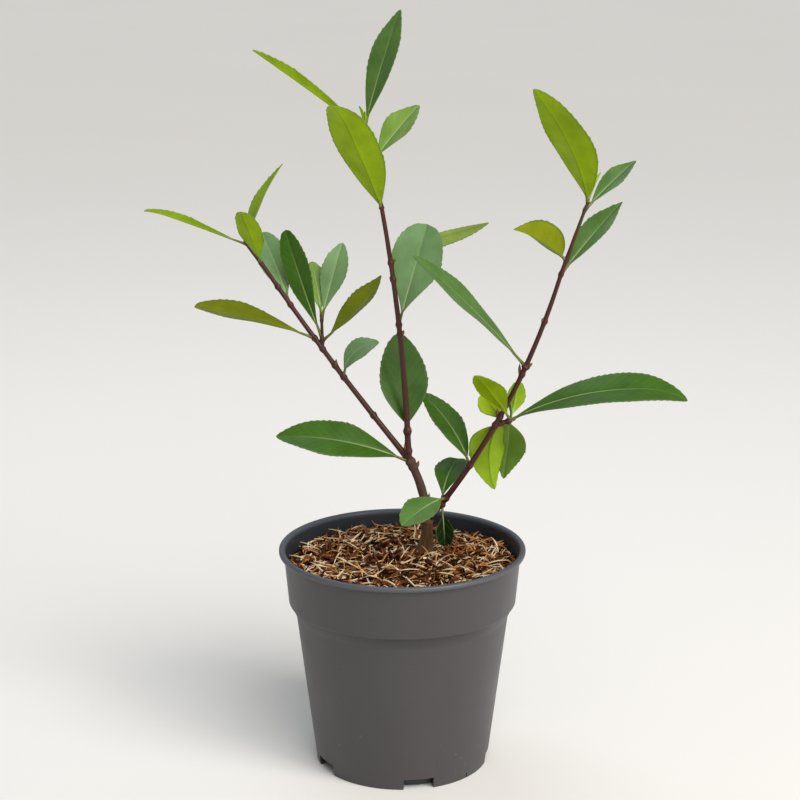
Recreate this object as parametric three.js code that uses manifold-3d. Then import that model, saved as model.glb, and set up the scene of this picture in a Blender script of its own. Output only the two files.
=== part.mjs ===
// A young evergreen shrub in a round plastic nursery pot, in millimetres with +Z up.
// The origin is the centre of the pot's underside, and -Y is the front.
import * as THREE from 'three';
import { mergeVertices } from 'three/addons/utils/BufferGeometryUtils.js';
import Module from 'manifold-3d';

const wasm = await Module();
wasm.setup();

// Clearance between pieces that touch, and the distance under which two points count as one
const GAP = 0.3;
const SAME = 1e-3;

// Pot: a tapered body, a wider collar above a sloped shoulder, and a rolled rim
const POT = {
  height: 118.2,
  rimRadius: 65,
  rimHeight: 2.8,
  rimEdge: 0.7,
  collarTopRadius: 62.4,
  collarFootRadius: 60,
  collarFoot: 89,
  shoulderRadius: 56.2,
  shoulder: 82.2,
  footRadius: 46,
  wall: 1.4,
  footRing: 2,
  floorLift: 6.6,
  hubRadius: 14,
  sides: 56,
};

// A thin ring under the floor, just behind the notches and a little clear of the ground
const INNER_RING = { inside: 40.3, outside: 41.5, clear: 0.8 };

// Five notches in the foot ring, each with a drain hole behind it, and one narrow slit right of the front
const NOTCH = { count: 5, turn: 10.8, width: 16, height: 6, depth: 8.4 };
const SLIT = { turn: 47, width: 0.9, height: 3 };
const DRAIN = { radius: 4, fromAxis: 36, sides: 12 };

// Potting mix: a low mound of loose bark and fibre, level for a little way round the stem. Each row of
// LUMPS is a wave over the surface, with its height and its lengths along X and Y.
const MIX = { edge: 108, crown: 110.5, flat: 9, rings: 7 };
const LUMPS = [
  { height: 0.7, alongX: 21, alongY: 34 },
  { height: 0.6, alongX: -29, alongY: 23 },
  { height: 0.4, alongX: 10, alongY: -11 },
];

// Main stem, from its cut at the mix to the upper fork
const STEM_FOOT = [12.6, 11];
const FLARE = { width: 2.6, reach: 5 };

// Each limb leaves another at a share of its length, with a heading from +X towards +Y and a rise above
// level in degrees. turn and lift are how far those change along it. thick and thin are its diameters.
const LIMBS = {
  main_stem: { heading: 0, turn: 0, rise: 82, lift: 36, length: 56, thick: 5.8, thin: 4 },
  bough_centre: {
    on: 'main_stem', at: 1, heading: -130, turn: -14, rise: 87, lift: -9, length: 136, thick: 3.2, thin: 2.2,
  },
  bough_left: {
    on: 'main_stem', at: 0.97, heading: 162, turn: 2, rise: 48, lift: 6, length: 128, thick: 3.2, thin: 2.2,
  },
  bough_right: {
    on: 'main_stem', at: 0.325, heading: -21, turn: -8, rise: 52, lift: 21, length: 158, thick: 3.2, thin: 2.2,
  },
};

// Every leaf has these sizes unless its own row says otherwise. droop and sweep bend it down and sideways
// over its length, fold lifts its two halves, and belly is where along the blade it is widest.
const LEAF = { roll: 0, droop: 10, sweep: 0, fold: 12, petiole: 4, belly: 0.5 };
const PETIOLE = { thick: 1.7, thin: 1.1, sides: 5, rings: 3, overlap: 0.08 };
const BLADE = { stations: 10, thickness: 0.012, leastThickness: 0.6, tip: 0.35, fullness: 0.85 };

// Sprays of leaves. One with a twig grows on from its limb, and the others are single leaves on a limb.
const SPRAYS = {
  left_crown: {
    on: 'bough_left', at: 1,
    twig: { heading: 163, turn: 0, rise: 50, lift: 0, length: 15, thick: 2.2, thin: 1.5 },
    leaves: [
      { at: 1, heading: -165, rise: 22, roll: 25, droop: 15, length: 53, width: 14, petiole: 3 },
      { at: 1, heading: -25, rise: 63, roll: 15, droop: 20, length: 45, width: 11, petiole: 3, belly: 0.4 },
      { at: 0.15, heading: -120, rise: 59, droop: 0, length: 32, width: 14, petiole: 3 },
    ],
  },
  left_back_leaf: {
    on: 'bough_left',
    leaves: [{ at: 0.81, heading: 118, rise: 44, roll: -20, length: 46, width: 16 }],
  },
  left_side_shoot: {
    on: 'bough_left', at: 0.585,
    twig: { heading: 100, turn: 0, rise: 80, lift: 0, length: 17, thick: 2, thin: 1.4 },
    leaves: [
      { at: 0.3, heading: 142, rise: 66, roll: -38, length: 56, width: 18, petiole: 5, belly: 0.55 },
      { at: 0.9, heading: 50, rise: 66, roll: 25, droop: 20, length: 40, width: 15, petiole: 3 },
      { at: 1, heading: 120, rise: 62, droop: 20, length: 28, width: 11, petiole: 3 },
      { at: 0.25, heading: -27, rise: 46, roll: -36, droop: -15, length: 46, width: 15, petiole: 6 },
    ],
  },
  left_outer_leaf: {
    on: 'bough_left',
    leaves: [{ at: 0.64, heading: -166, rise: 18, roll: 42, droop: 22, length: 59, width: 17, petiole: 5 }],
  },
  left_inner_leaf: {
    on: 'bough_left',
    leaves: [{ at: 0.44, heading: -4, rise: 46, roll: 35, droop: 90, length: 34, width: 14 }],
  },
  fork_leaf: {
    on: 'main_stem',
    leaves: [{ at: 0.95, heading: -178, rise: 12, roll: -36, droop: 40, length: 70, width: 24, petiole: 7 }],
  },
  centre_crown: {
    on: 'bough_centre', at: 1,
    twig: { heading: -148, turn: 0, rise: 77, lift: 0, length: 43, thick: 2.2, thin: 1.5 },
    leaves: [
      { at: 0.03, heading: -140, rise: 58, roll: 10, length: 58, width: 27, belly: 0.55 },
      { at: 0.95, heading: -169, rise: 35, roll: 25, droop: 6, length: 64, width: 14 },
      { at: 1, heading: 52, rise: 66, roll: 5, length: 56, width: 18, petiole: 3 },
      { at: 0.6, heading: 34, rise: 43, roll: 20, length: 34, width: 18 },
    ],
  },
  centre_broad_leaf: {
    on: 'bough_centre',
    leaves: [{ at: 0.54, heading: 20, rise: 73, roll: 55, length: 51, width: 28, belly: 0.6 }],
  },
  centre_back_leaf: {
    on: 'bough_centre',
    leaves: [{ at: 0.86, heading: 40, rise: 0, droop: 5, sweep: 75, length: 78, width: 17, petiole: 10 }],
  },
  centre_low_leaf: {
    on: 'bough_centre',
    leaves: [{ at: 0.13, heading: 104, rise: 67, length: 46, width: 27 }],
  },
  right_crown: {
    on: 'bough_right', at: 1,
    twig: { heading: -30, turn: 0, rise: 70, lift: 0, length: 41, thick: 2.3, thin: 1.5 },
    leaves: [
      { at: 0.12, heading: -143, rise: 37, roll: 45, droop: 40, fold: 35, length: 36, width: 22 },
      { at: 0.1, heading: 29, rise: 40, roll: 20, length: 42, width: 15 },
      { at: 1, heading: -139, rise: 58, roll: -16, length: 62, width: 30, petiole: 3 },
      { at: 0.9, heading: 28, rise: 34, roll: 20, length: 32, width: 12 },
    ],
  },
  right_inner_leaf: {
    on: 'bough_right',
    leaves: [{ at: 0.67, heading: -160, rise: 45, roll: -28, length: 75, width: 19, petiole: 6 }],
  },
  right_side_shoot: {
    on: 'bough_right', at: 0.435,
    twig: { heading: -10, turn: 0, rise: 20, lift: 0, length: 9, thick: 2.6, thin: 1.6 },
    leaves: [
      { at: 0.8, heading: -11, rise: 12.5, roll: 26, droop: 45, length: 94, width: 21, petiole: 6 },
      { at: 0.9, heading: -136, rise: 48, length: 36, width: 17, petiole: 3 },
      { at: 0.9, heading: 122, rise: 25, droop: 20, length: 24, width: 14, petiole: 3 },
      { at: 1, heading: 57, rise: 51, length: 22, width: 10, petiole: 3 },
      { at: 0.4, heading: -172, rise: -46, roll: -70, droop: 10, length: 29, width: 18 },
      { at: 0.6, heading: 120, rise: -71, roll: 18, droop: 20, length: 38, width: 24 },
    ],
  },
  right_low_leaf: {
    on: 'bough_right',
    leaves: [{ at: 0.25, heading: 128, rise: 47, roll: -15, length: 44, width: 18 }],
  },
  right_foot_leaf: {
    on: 'bough_right',
    leaves: [{ at: 0.09, heading: 75, rise: 36, droop: 60, length: 30, width: 16 }],
  },
  foot_front_leaf: {
    on: 'bough_right',
    leaves: [{ at: 0.08, heading: -130, rise: -5, roll: -20, droop: 40, length: 33, width: 18 }],
  },
  foot_hanging_leaf: {
    on: 'bough_right',
    leaves: [{ at: 0.1, heading: -66, rise: -64, droop: 20, length: 16, width: 10, petiole: 7 }],
  },
};

const LOOKS = {
  pot: { color: '#55565a', roughness: 0.55 },
  potting_mix: { color: '#6b4426', roughness: 0.95 },
  bark: { color: '#4f2a24', roughness: 0.7 },
  stem: { color: '#6a5444', roughness: 0.8 },
  leaf: { color: '#3f7a2c', roughness: 0.45 },
};

const LIMB_SIDES = 8;
const LIMB_RINGS = 14;
const TWIG_SIDES = 8;
const TWIG_RINGS = 5;

const degrees = THREE.MathUtils.degToRad;
const AWAY = new THREE.Vector3(0, 1, 0);

function direction(heading, rise) {
  const level = Math.cos(degrees(rise));
  const across = degrees(heading);
  return new THREE.Vector3(level * Math.cos(across), level * Math.sin(across), Math.sin(degrees(rise)));
}

// A curve of a given length that leaves along first and ends along last
function bendBetween(start, first, last, length) {
  const middle = start.clone().addScaledVector(first, length / 2);
  const end = middle.clone().addScaledVector(last, length / 2);
  return new THREE.QuadraticBezierCurve3(start, middle, end);
}

function limbCurve(row, start) {
  const first = direction(row.heading, row.rise);
  const last = direction(row.heading + row.turn, row.rise + row.lift);
  return bendBetween(start, first, last, row.length);
}

// A leaf's own axes: along it, to its left, and up out of its upper side
function leafAxes(row) {
  const along = direction(row.heading, row.rise);
  const level = direction(row.heading + 90, 0);
  const left = level.applyAxisAngle(along, degrees(row.roll));
  return { along, left, up: along.clone().cross(left) };
}

// The leaf's midrib from its root on the limb to its tip, bent evenly to both sides of its mean direction
function leafCurve(row, root) {
  const { along, left, up } = leafAxes(row);
  const tilted = (share) =>
    along.clone()
      .addScaledVector(up, Math.tan(degrees(row.droop * share)))
      .addScaledVector(left, Math.tan(degrees(row.sweep * share)))
      .normalize();
  return bendBetween(root, tilted(0.5), tilted(-0.5), row.petiole + row.length);
}

// Moves every vertex of a geometry to where place puts it
function mould(geometry, place) {
  const position = geometry.getAttribute('position');
  const point = new THREE.Vector3();
  for (let i = 0; i < position.count; i += 1) {
    point.fromBufferAttribute(position, i);
    const moved = place(point);
    position.setXYZ(i, moved.x, moved.y, moved.z);
  }
  return geometry;
}

function solidOf(geometry) {
  geometry.deleteAttribute('normal');
  geometry.deleteAttribute('uv');
  const merged = mergeVertices(geometry, SAME / 10);
  const corners = merged.index.array;
  const kept = [];
  for (let i = 0; i < corners.length; i += 3) {
    const [a, b, c] = corners.slice(i, i + 3);
    if (a !== b && b !== c && c !== a) kept.push(a, b, c);
  }
  const vertProperties = new Float32Array(merged.getAttribute('position').array);
  return new wasm.Manifold(new wasm.Mesh({ numProp: 3, vertProperties, triVerts: new Uint32Array(kept) }));
}

function largestBody(solid) {
  const bodies = solid.decompose();
  return bodies.reduce((best, body) => (body.volume() > best.volume() ? body : best));
}

function meshOf(name, solid, look) {
  const { vertProperties, triVerts } = solid.getMesh();
  const geometry = new THREE.BufferGeometry();
  geometry.setAttribute('position', new THREE.BufferAttribute(vertProperties, 3));
  geometry.setIndex(new THREE.BufferAttribute(triVerts, 1));
  geometry.computeVertexNormals();
  const mesh = new THREE.Mesh(geometry, new THREE.MeshStandardMaterial({ metalness: 0, ...LOOKS[look] }));
  mesh.name = name;
  return mesh;
}

// A closed round profile of [radius, height] points turned about the Z axis
function turned(profile, sides) {
  const points = profile.map(([radius, height]) => new THREE.Vector2(radius, height));
  return new THREE.LatheGeometry(points, sides).rotateX(Math.PI / 2);
}

// The pot's inner wall from the floor up, as [radius, height] points
function innerWall() {
  const { wall, floorLift, footRadius, shoulderRadius, shoulder, height } = POT;
  const floor = floorLift + wall;
  const taper = (shoulderRadius - footRadius) / shoulder;
  return [
    [footRadius + taper * floor - wall, floor],
    [shoulderRadius - wall, shoulder + wall / 2],
    [POT.collarFootRadius - wall, POT.collarFoot + wall / 2],
    [POT.collarTopRadius - wall, height - POT.rimHeight],
  ];
}

function potSolid() {
  const { height, rimRadius, rimHeight, rimEdge, wall, footRadius, footRing, floorLift, hubRadius } = POT;
  const rimFoot = height - rimHeight;
  const slope = wall;
  const inner = innerWall().reverse();
  const profile = [
    [0, 0],
    [hubRadius, 0],
    [hubRadius + slope, floorLift],
    [INNER_RING.inside, floorLift],
    [INNER_RING.inside, INNER_RING.clear],
    [INNER_RING.outside, INNER_RING.clear],
    [INNER_RING.outside, floorLift],
    [footRadius - footRing - slope, floorLift],
    [footRadius - footRing, 0],
    [footRadius, 0],
    [POT.shoulderRadius, POT.shoulder],
    [POT.collarFootRadius, POT.collarFoot],
    [POT.collarTopRadius, rimFoot],
    [rimRadius - rimEdge, rimFoot],
    [rimRadius, rimFoot + rimEdge],
    [rimRadius, height - rimEdge],
    [rimRadius - rimEdge, height],
    [POT.collarTopRadius - wall + rimEdge, height],
    ...inner,
    [hubRadius - wall / 2, floorLift + wall],
    [hubRadius - wall / 2 - slope, wall],
    [0, wall],
  ];
  let pot = solidOf(turned(profile, POT.sides));
  for (let i = 0; i < NOTCH.count; i += 1) {
    const spin = degrees(NOTCH.turn + (360 / NOTCH.count) * i);
    const notch = new THREE.BoxGeometry(NOTCH.width, NOTCH.depth, NOTCH.height * 2);
    notch.translate(0, -footRadius, 0).rotateZ(spin);
    const drain = new THREE.CylinderGeometry(DRAIN.radius, DRAIN.radius, floorLift * 2, DRAIN.sides);
    drain.rotateX(Math.PI / 2).translate(0, -DRAIN.fromAxis, floorLift).rotateZ(spin);
    pot = pot.subtract(solidOf(notch)).subtract(solidOf(drain));
  }
  const slit = new THREE.BoxGeometry(SLIT.width, NOTCH.depth, SLIT.height * 2);
  slit.translate(0, -footRadius, 0).rotateZ(degrees(SLIT.turn));
  return pot.subtract(solidOf(slit));
}

// Height of the mix's surface: a mound with lumps, level where the stem stands
function mixHeight(x, y, radius) {
  const edgeRadius = POT.collarTopRadius;
  const mound = MIX.edge + (MIX.crown - MIX.edge) * (1 - (radius / edgeRadius) ** 2);
  const wave = ({ height, alongX, alongY }) => height * Math.sin(2 * Math.PI * (x / alongX + y / alongY));
  const lumps = LUMPS.reduce((sum, row) => sum + wave(row), 0);
  const fromStem = Math.hypot(x - STEM_FOOT[0], y - STEM_FOOT[1]);
  const loose = THREE.MathUtils.smoothstep(fromStem, MIX.flat, MIX.flat * 2);
  return THREE.MathUtils.lerp(MIX.crown, mound + lumps, loose);
}

function mixSolid() {
  const { wall, hubRadius, floorLift } = POT;
  const wallPoints = innerWall();
  const [low, high] = wallPoints.slice(-2);
  const rimShare = (MIX.edge - low[1]) / (high[1] - low[1]);
  const edgeRadius = THREE.MathUtils.lerp(low[0], high[0], rimShare) - GAP;
  const hub = hubRadius - wall / 2 - wall - GAP;
  const profile = [[0, wall + GAP], [hub, wall + GAP], [hub + wall, floorLift + wall + GAP]];
  profile.push([wallPoints[0][0] - GAP, floorLift + wall + GAP]);
  for (const [radius, height] of wallPoints.slice(1, -1)) profile.push([radius - GAP, height]);
  for (let i = 0; i <= MIX.rings; i += 1) profile.push([edgeRadius * (1 - i / MIX.rings), MIX.edge]);
  const surface = mould(turned(profile, POT.sides), (point) => {
    const radius = Math.hypot(point.x, point.y);
    const onTop = point.z > MIX.edge - SAME && radius < edgeRadius - SAME;
    if (onTop) point.z = mixHeight(point.x, point.y, radius);
    return point;
  });
  return solidOf(surface);
}

// A tapering round limb along a curve. grown makes it that much larger all round, to cut a seat with.
function limbSolid(curve, row, sides, rings, grown = 0) {
  const flared = row.flare ?? 0;
  const tube = new THREE.CylinderGeometry(1, 1, 1, sides, rings);
  return solidOf(mould(tube, ({ x, y, z }) => {
    const share = y + 0.5;
    const along = curve.getTangent(share);
    const side = AWAY.clone().cross(along).normalize();
    const other = side.clone().cross(along);
    const taper = THREE.MathUtils.lerp(row.thick, row.thin, share);
    const foot = flared * Math.exp(-(share * row.length) / FLARE.reach);
    const radius = (taper + foot) / 2 + grown;
    return curve.getPoint(share)
      .addScaledVector(side, x * radius)
      .addScaledVector(other, z * radius)
      .addScaledVector(along, 2 * (share - 0.5) * grown);
  }));
}

function halfWidth(row, share) {
  const power = Math.log(0.5) / Math.log(row.belly);
  const bulge = Math.sin(Math.PI * share ** power);
  return Math.max(BLADE.tip, (row.width / 2) * Math.max(bulge, 0) ** BLADE.fullness);
}

// A leaf blade on its petiole, folded in a shallow V along the midrib
function leafSolid(row, root) {
  const curve = leafCurve(row, root);
  const { left } = leafAxes(row);
  const total = row.petiole + row.length;
  const thickness = Math.max(BLADE.leastThickness, row.length * BLADE.thickness);
  const axesAt = (share) => {
    const along = curve.getTangent(share);
    const up = along.clone().cross(left).normalize();
    return { up, side: up.clone().cross(along) };
  };
  const plate = new THREE.BoxGeometry(1, 1, 1, BLADE.stations, 2, 1);
  const blade = solidOf(mould(plate, ({ x, y, z }) => {
    const share = (row.petiole + (x + 0.5) * row.length) / total;
    const { up, side } = axesAt(share);
    const half = halfWidth(row, x + 0.5);
    const across = 2 * y * half * Math.cos(degrees(row.fold));
    const lift = 2 * Math.abs(y) * half * Math.sin(degrees(row.fold));
    return curve.getPoint(share).addScaledVector(side, across).addScaledVector(up, lift + z * thickness);
  }));
  const reach = row.petiole / total + PETIOLE.overlap;
  const rod = new THREE.CylinderGeometry(1, 1, 1, PETIOLE.sides, PETIOLE.rings);
  const petiole = solidOf(mould(rod, ({ x, y, z }) => {
    const share = (y + 0.5) * reach;
    const { up, side } = axesAt(share);
    const radius = THREE.MathUtils.lerp(PETIOLE.thick, PETIOLE.thin, y + 0.5) / 2;
    return curve.getPoint(share).addScaledVector(up, x * radius).addScaledVector(side, z * radius);
  }));
  return blade.add(petiole);
}

// Everything just under a level, to cut the stem's foot flat
function solidBelow({ x, y, z }) {
  const deep = POT.rimRadius;
  return solidOf(new THREE.BoxGeometry(deep, deep, deep).translate(x, y, z - deep / 2));
}

const plant = new THREE.Group();
plant.add(meshOf('pot', potSolid(), 'pot'));
plant.add(meshOf('potting_mix', mixSolid(), 'potting_mix'));

// Limbs, each seated a small clearance off the ones before it
const curves = {};
const seats = [];
for (const [name, row] of Object.entries(LIMBS)) {
  const start = row.on ? curves[row.on].getPoint(row.at) : new THREE.Vector3(...STEM_FOOT, MIX.crown + GAP);
  const shape = row.on ? row : { ...row, flare: FLARE.width };
  curves[name] = limbCurve(row, start);
  let limb = limbSolid(curves[name], shape, LIMB_SIDES, LIMB_RINGS);
  if (!row.on) limb = limb.subtract(solidBelow(start));
  for (const seat of seats) limb = limb.subtract(seat);
  seats.push(limbSolid(curves[name], shape, LIMB_SIDES, LIMB_RINGS, GAP));
  plant.add(meshOf(name, largestBody(limb), row.on ? 'bark' : 'stem'));
}

// Sprays, each one body that stands clear of every limb
for (const [name, spray] of Object.entries(SPRAYS)) {
  let stalk = curves[spray.on];
  let solid = null;
  if (spray.twig) {
    stalk = limbCurve(spray.twig, stalk.getPoint(spray.at));
    solid = limbSolid(stalk, spray.twig, TWIG_SIDES, TWIG_RINGS);
  }
  for (const row of spray.leaves) {
    const leaf = leafSolid({ ...LEAF, ...row }, stalk.getPoint(row.at));
    solid = solid ? solid.add(leaf) : leaf;
  }
  for (const seat of seats) solid = solid.subtract(seat);
  plant.add(meshOf(name, largestBody(solid), 'leaf'));
}

export default plant;
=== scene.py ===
"""A young yerba mate shrub in a round nursery pot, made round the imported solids. Every size is in metres."""

import math

import bmesh
import bpy
import numpy as np
from bpy.props import FloatProperty, FloatVectorProperty, IntProperty, PointerProperty
from bpy.types import Operator, Panel, PropertyGroup
from mathutils import Matrix, Quaternion, Vector, noise


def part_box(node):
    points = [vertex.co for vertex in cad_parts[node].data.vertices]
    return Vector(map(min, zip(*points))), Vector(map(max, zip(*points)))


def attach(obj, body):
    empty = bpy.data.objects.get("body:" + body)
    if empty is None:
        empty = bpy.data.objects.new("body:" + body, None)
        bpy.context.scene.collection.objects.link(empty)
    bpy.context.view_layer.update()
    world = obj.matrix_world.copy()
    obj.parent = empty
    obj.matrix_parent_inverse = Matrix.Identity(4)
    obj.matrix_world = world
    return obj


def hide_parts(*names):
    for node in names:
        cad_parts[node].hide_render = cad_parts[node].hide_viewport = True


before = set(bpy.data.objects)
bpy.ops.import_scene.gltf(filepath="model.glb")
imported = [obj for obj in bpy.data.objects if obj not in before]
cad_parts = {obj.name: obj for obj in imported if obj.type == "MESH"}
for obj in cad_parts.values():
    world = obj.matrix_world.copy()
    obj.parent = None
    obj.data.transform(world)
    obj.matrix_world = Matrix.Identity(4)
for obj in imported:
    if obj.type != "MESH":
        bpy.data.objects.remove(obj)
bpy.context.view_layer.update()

bl_info = {
    "name": "Potted Mate Shrub",
    "version": (1, 0, 0),
    "blender": (4, 5, 0),
    "location": "View3D > Sidebar > Shrub",
    "description": "Builds a young shrub with toothed leaves in a nursery pot",
    "category": "Add Mesh",
}

MM = 0.001
SEED = 11
BODY = "root"
BAKE_MAP = "OFBake"
AWAY = Vector((0, 1, 0))
SHARP_ANGLE = 40
# How a fractal noise falls off from one octave to the next, and how far apart the octaves lie
FRACTAL_FALL, FRACTAL_GAP = 1, 2


# The plant's growth, in millimetres and degrees. A heading runs from +X to +Y, and a rise is above level.
def shoot(heading, rise, length, thick, thin, turn=0, lift=0, on=None, at=0):
    """A limb or twig: its first direction, how far that turns and lifts, its length and diameters."""
    return {
        "heading": heading, "rise": rise, "turn": turn, "lift": lift, "on": on, "at": at,
        "length": length * MM, "thick": thick * MM, "thin": thin * MM,
    }


def leaf(at, heading, rise, length, width, tone, petiole=4, belly=0.55, tip=0.62, hook=0, **bends):
    """A leaf at a share of its stalk, with the colour tone that its age and light give it. belly is where it
    is widest, a small tip makes it blunt, hook is how far its end curls down, and turn twists the blade
    about the midrib."""
    shape = {"roll": 0, "droop": 10, "sweep": 0, "fold": 12, "turn": 0, **bends}
    sizes = {"length": length * MM, "width": width * MM, "petiole": petiole * MM, "hook": hook * MM}
    looks = {"belly": belly, "tip": tip, "tone": tone}
    return {"at": at, "heading": heading, "rise": rise, **looks, **shape, **sizes}


def lone(limb, *place, **looks):
    """A spray of one leaf that grows on a limb without a twig."""
    return limb, None, [leaf(*place, **looks)]


STEM_FOOT = Vector((12.6, 11, 110.8)) * MM
LIMBS = {
    "main_stem": shoot(0, 82, 56, 5.8, 4, lift=36),
    "bough_centre": shoot(-130, 87, 136, 3.2, 2.2, turn=-14, lift=-9, on="main_stem", at=1),
    "bough_left": shoot(162, 48, 128, 3.2, 2.2, turn=2, lift=6, on="main_stem", at=0.97),
    "bough_right": shoot(-21, 52, 158, 3.2, 2.2, turn=-8, lift=21, on="main_stem", at=0.325),
}

# Sprays of leaves by the solid that each stands for: the limb they grow on, their own twig and their leaves
SPRAYS = {
    "left_crown": ("bough_left", shoot(163, 50, 15, 2.2, 1.5, at=1), [
        leaf(1, -165, 22, 53, 8, "young", 4, 0.62, tip=0.5, hook=1.5, roll=25, droop=3, fold=36),
        leaf(1, -25, 63, 47, 11, "fresh", 3, 0.4, tip=1.25, roll=15, droop=20, fold=25, turn=33),
        leaf(0.15, -120, 59, 32, 15, "young", 3, tip=0.5, droop=0),
    ]),
    "left_back_leaf": lone("bough_left", 0.81, 118, 44, 44, 16, "pale", tip=0.5, roll=-20),
    "left_side_shoot": ("bough_left", shoot(100, 80, 17, 2, 1.4, at=0.585), [
        leaf(0.3, 142, 66, 56, 15, "deep", 5, 0.6, tip=0.5, roll=-75),
        leaf(0.9, 50, 66, 40, 14, "pale", 3, 0.6, tip=0.75, roll=25, droop=20),
        leaf(1, 112, 62, 28, 12, "young", 3, droop=20),
        leaf(0.25, -27, 46, 46, 14, "deep", 6, tip=0.9, hook=-2, roll=-36, droop=-15, fold=30),
    ]),
    "left_outer_leaf": lone(
        "bough_left", 0.64, -166, 18, 62, 17, "mature", 5, 0.62, tip=0.5, roll=42, droop=16, fold=20,
    ),
    "left_inner_leaf": lone("bough_left", 0.44, -4, 46, 34, 15, "pale", tip=0.7, roll=35, droop=90),
    "fork_leaf": lone("main_stem", 0.95, -178, 12, 70, 24, "deep", 7, tip=0.75, roll=-36, droop=40),
    "centre_crown": ("bough_centre", shoot(-148, 77, 43, 2.2, 1.5, at=1), [
        leaf(0, -130, 58, 66, 26, "young", 1, 0.52, tip=0.5, hook=3, roll=10),
        leaf(0.95, -169, 36, 65, 9.5, "young", 4, 0.58, tip=0.7, roll=25, droop=2, fold=34),
        leaf(1, 45, 66, 58.5, 17, "mature", 3, tip=0.85, roll=5),
        leaf(0.57, 34, 43, 35, 17, "young", tip=0.9, roll=20, fold=20),
    ]),
    "centre_broad_leaf": lone("bough_centre", 0.54, 22, 73, 50, 27, "pale", belly=0.62, tip=0.42, roll=55),
    "centre_back_leaf": lone(
        "bough_centre", 0.785, 40, 10, 77, 11, "pale", 10, tip=0.8, hook=2, droop=-12, sweep=75, turn=204,
    ),
    "centre_low_leaf": lone("bough_centre", 0.105, 104, 67, 49, 26, "deep", belly=0.48, tip=0.62),
    "right_crown": ("bough_right", shoot(-30, 70, 41, 2.3, 1.5, at=1), [
        leaf(0.22, -143, 29, 39, 24, "mature", 3, 0.28, tip=1, roll=45, droop=40, fold=55),
        leaf(0.03, 31, 42, 46, 15, "mature", tip=1.1, roll=20, fold=22),
        leaf(1, -141, 57, 73, 25, "young", 2, 0.52, tip=0.7, roll=-16, sweep=46, turn=24),
        leaf(0.9, 28, 37, 33, 12, "mature", tip=1.1, roll=20, fold=22),
    ]),
    "right_inner_leaf": lone("bough_right", 0.67, -160, 45, 81, 20, "mature", 6, tip=0.7, roll=-28),
    "right_side_shoot": ("bough_right", shoot(-10, 20, 9, 2.6, 1.6, at=0.435), [
        leaf(0.8, -11, 12, 101, 24, "deep", 1, 0.58, tip=0.6, hook=5, roll=25, droop=45),
        leaf(0.95, -136, 47, 36, 16, "young", 3, 0.6, tip=0.7, turn=18),
        leaf(0.45, 140, 46, 16, 12, "young", 3, tip=0.5, roll=150),
        leaf(0.9, 68, 55, 19, 10, "fresh", 3, tip=0.5, roll=180),
        leaf(0.23, 96, -72.6, 45.5, 22, "fresh", 2, 0.38, tip=0.8, roll=-36, droop=60, fold=20, turn=23),
        leaf(0.81, 92.6, -60, 46, 22, "young", 2.5, 0.38, tip=0.9, roll=196, droop=-52, fold=14, turn=9),
    ]),
    "right_low_leaf": lone(
        "bough_right", 0.26, 138, 44, 46, 16, "deep", belly=0.5, tip=0.75, roll=-15, sweep=-30,
    ),
    "right_foot_leaf": lone("bough_right", 0.08, 68, 36, 32, 17, "deep", belly=0.6, tip=0.4, droop=60),
    "foot_front_leaf": lone("bough_right", 0.11, -130, -10, 35, 17, "mature", roll=-20, droop=40),
    # Its dark tone is painted shade.
    "foot_hanging_leaf": lone(
        "bough_right", 0.085, -80, -66, 18, 11, "dark", 5, 0.62, tip=0.4, droop=20, fold=30,
    ),
}

# Unfolding leaflets at the tips of the twigs, too small for solids of their own
LEAFLETS = {
    "left_crown": [leaf(1, 150, 70, 8, 2.4, "fresh", 1, fold=40)],
    "centre_crown": [
        leaf(1, -150, 72, 10, 2.6, "fresh", 1, fold=45),
        leaf(1, -90, 78, 7, 2.2, "fresh", 1, fold=45),
    ],
    "right_crown": [leaf(1, 15, 66, 15, 3, "fresh", 1, tip=0.9, fold=50)],
    "left_side_shoot": [leaf(1, 150, 80, 5, 2, "fresh", 1, fold=45)],
    "right_side_shoot": [leaf(1, 170, 80, 10, 3, "pale", 1, fold=45)],
}

# Pointed buds in the limbs' angles, as share of the limb, heading, rise, length and width in millimetres
BUDS = {
    "main_stem": [(0.53, -25, 78, 5.5, 1.5), (0.9, -10, 66, 4.2, 1.9)],
    "bough_centre": [
        (0.03, -165, 74, 4.4, 1.7), (0.115, -30, 62, 2, 1.7),
        (0.5, -20, 62, 3, 1.7), (0.72, 190, 66, 2, 1.4),
    ],
    "bough_left": [(0.24, 60, 60, 2, 1.4), (0.5, -70, 70, 4.4, 1.7), (0.9, -70, 60, 2, 1.3)],
    "bough_right": [
        (0.47, 170, 78, 4.5, 1.8), (0.64, 175, 82, 6, 1.6),
        (0.67, -12, 34, 3.4, 1.8), (0.84, -150, 66, 2, 1.4),
    ],
}


def linear(hex_colour):
    """The linear red, green and blue of an sRGB hex colour."""
    parts = [int(hex_colour[i:i + 2], 16) / 255 for i in (1, 3, 5)]
    return tuple(c / 12.92 if c <= 0.04045 else ((c + 0.055) / 1.055) ** 2.4 for c in parts)


def size_of(name, description, millimetres):
    """A length that a user may change."""
    return FloatProperty(
        name=name, description=description, default=millimetres * MM, min=0, unit="LENGTH", precision=5,
    )


def colour_of(name, description, hex_colour):
    """A colour that a user may change."""
    return FloatVectorProperty(
        name=name, description=description, default=linear(hex_colour), min=0, max=1, size=3,
        subtype="COLOR",
    )


def count_of(name, description, number):
    """A number of like things that a user may change."""
    return IntProperty(name=name, description=description, default=number, min=0)


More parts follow.
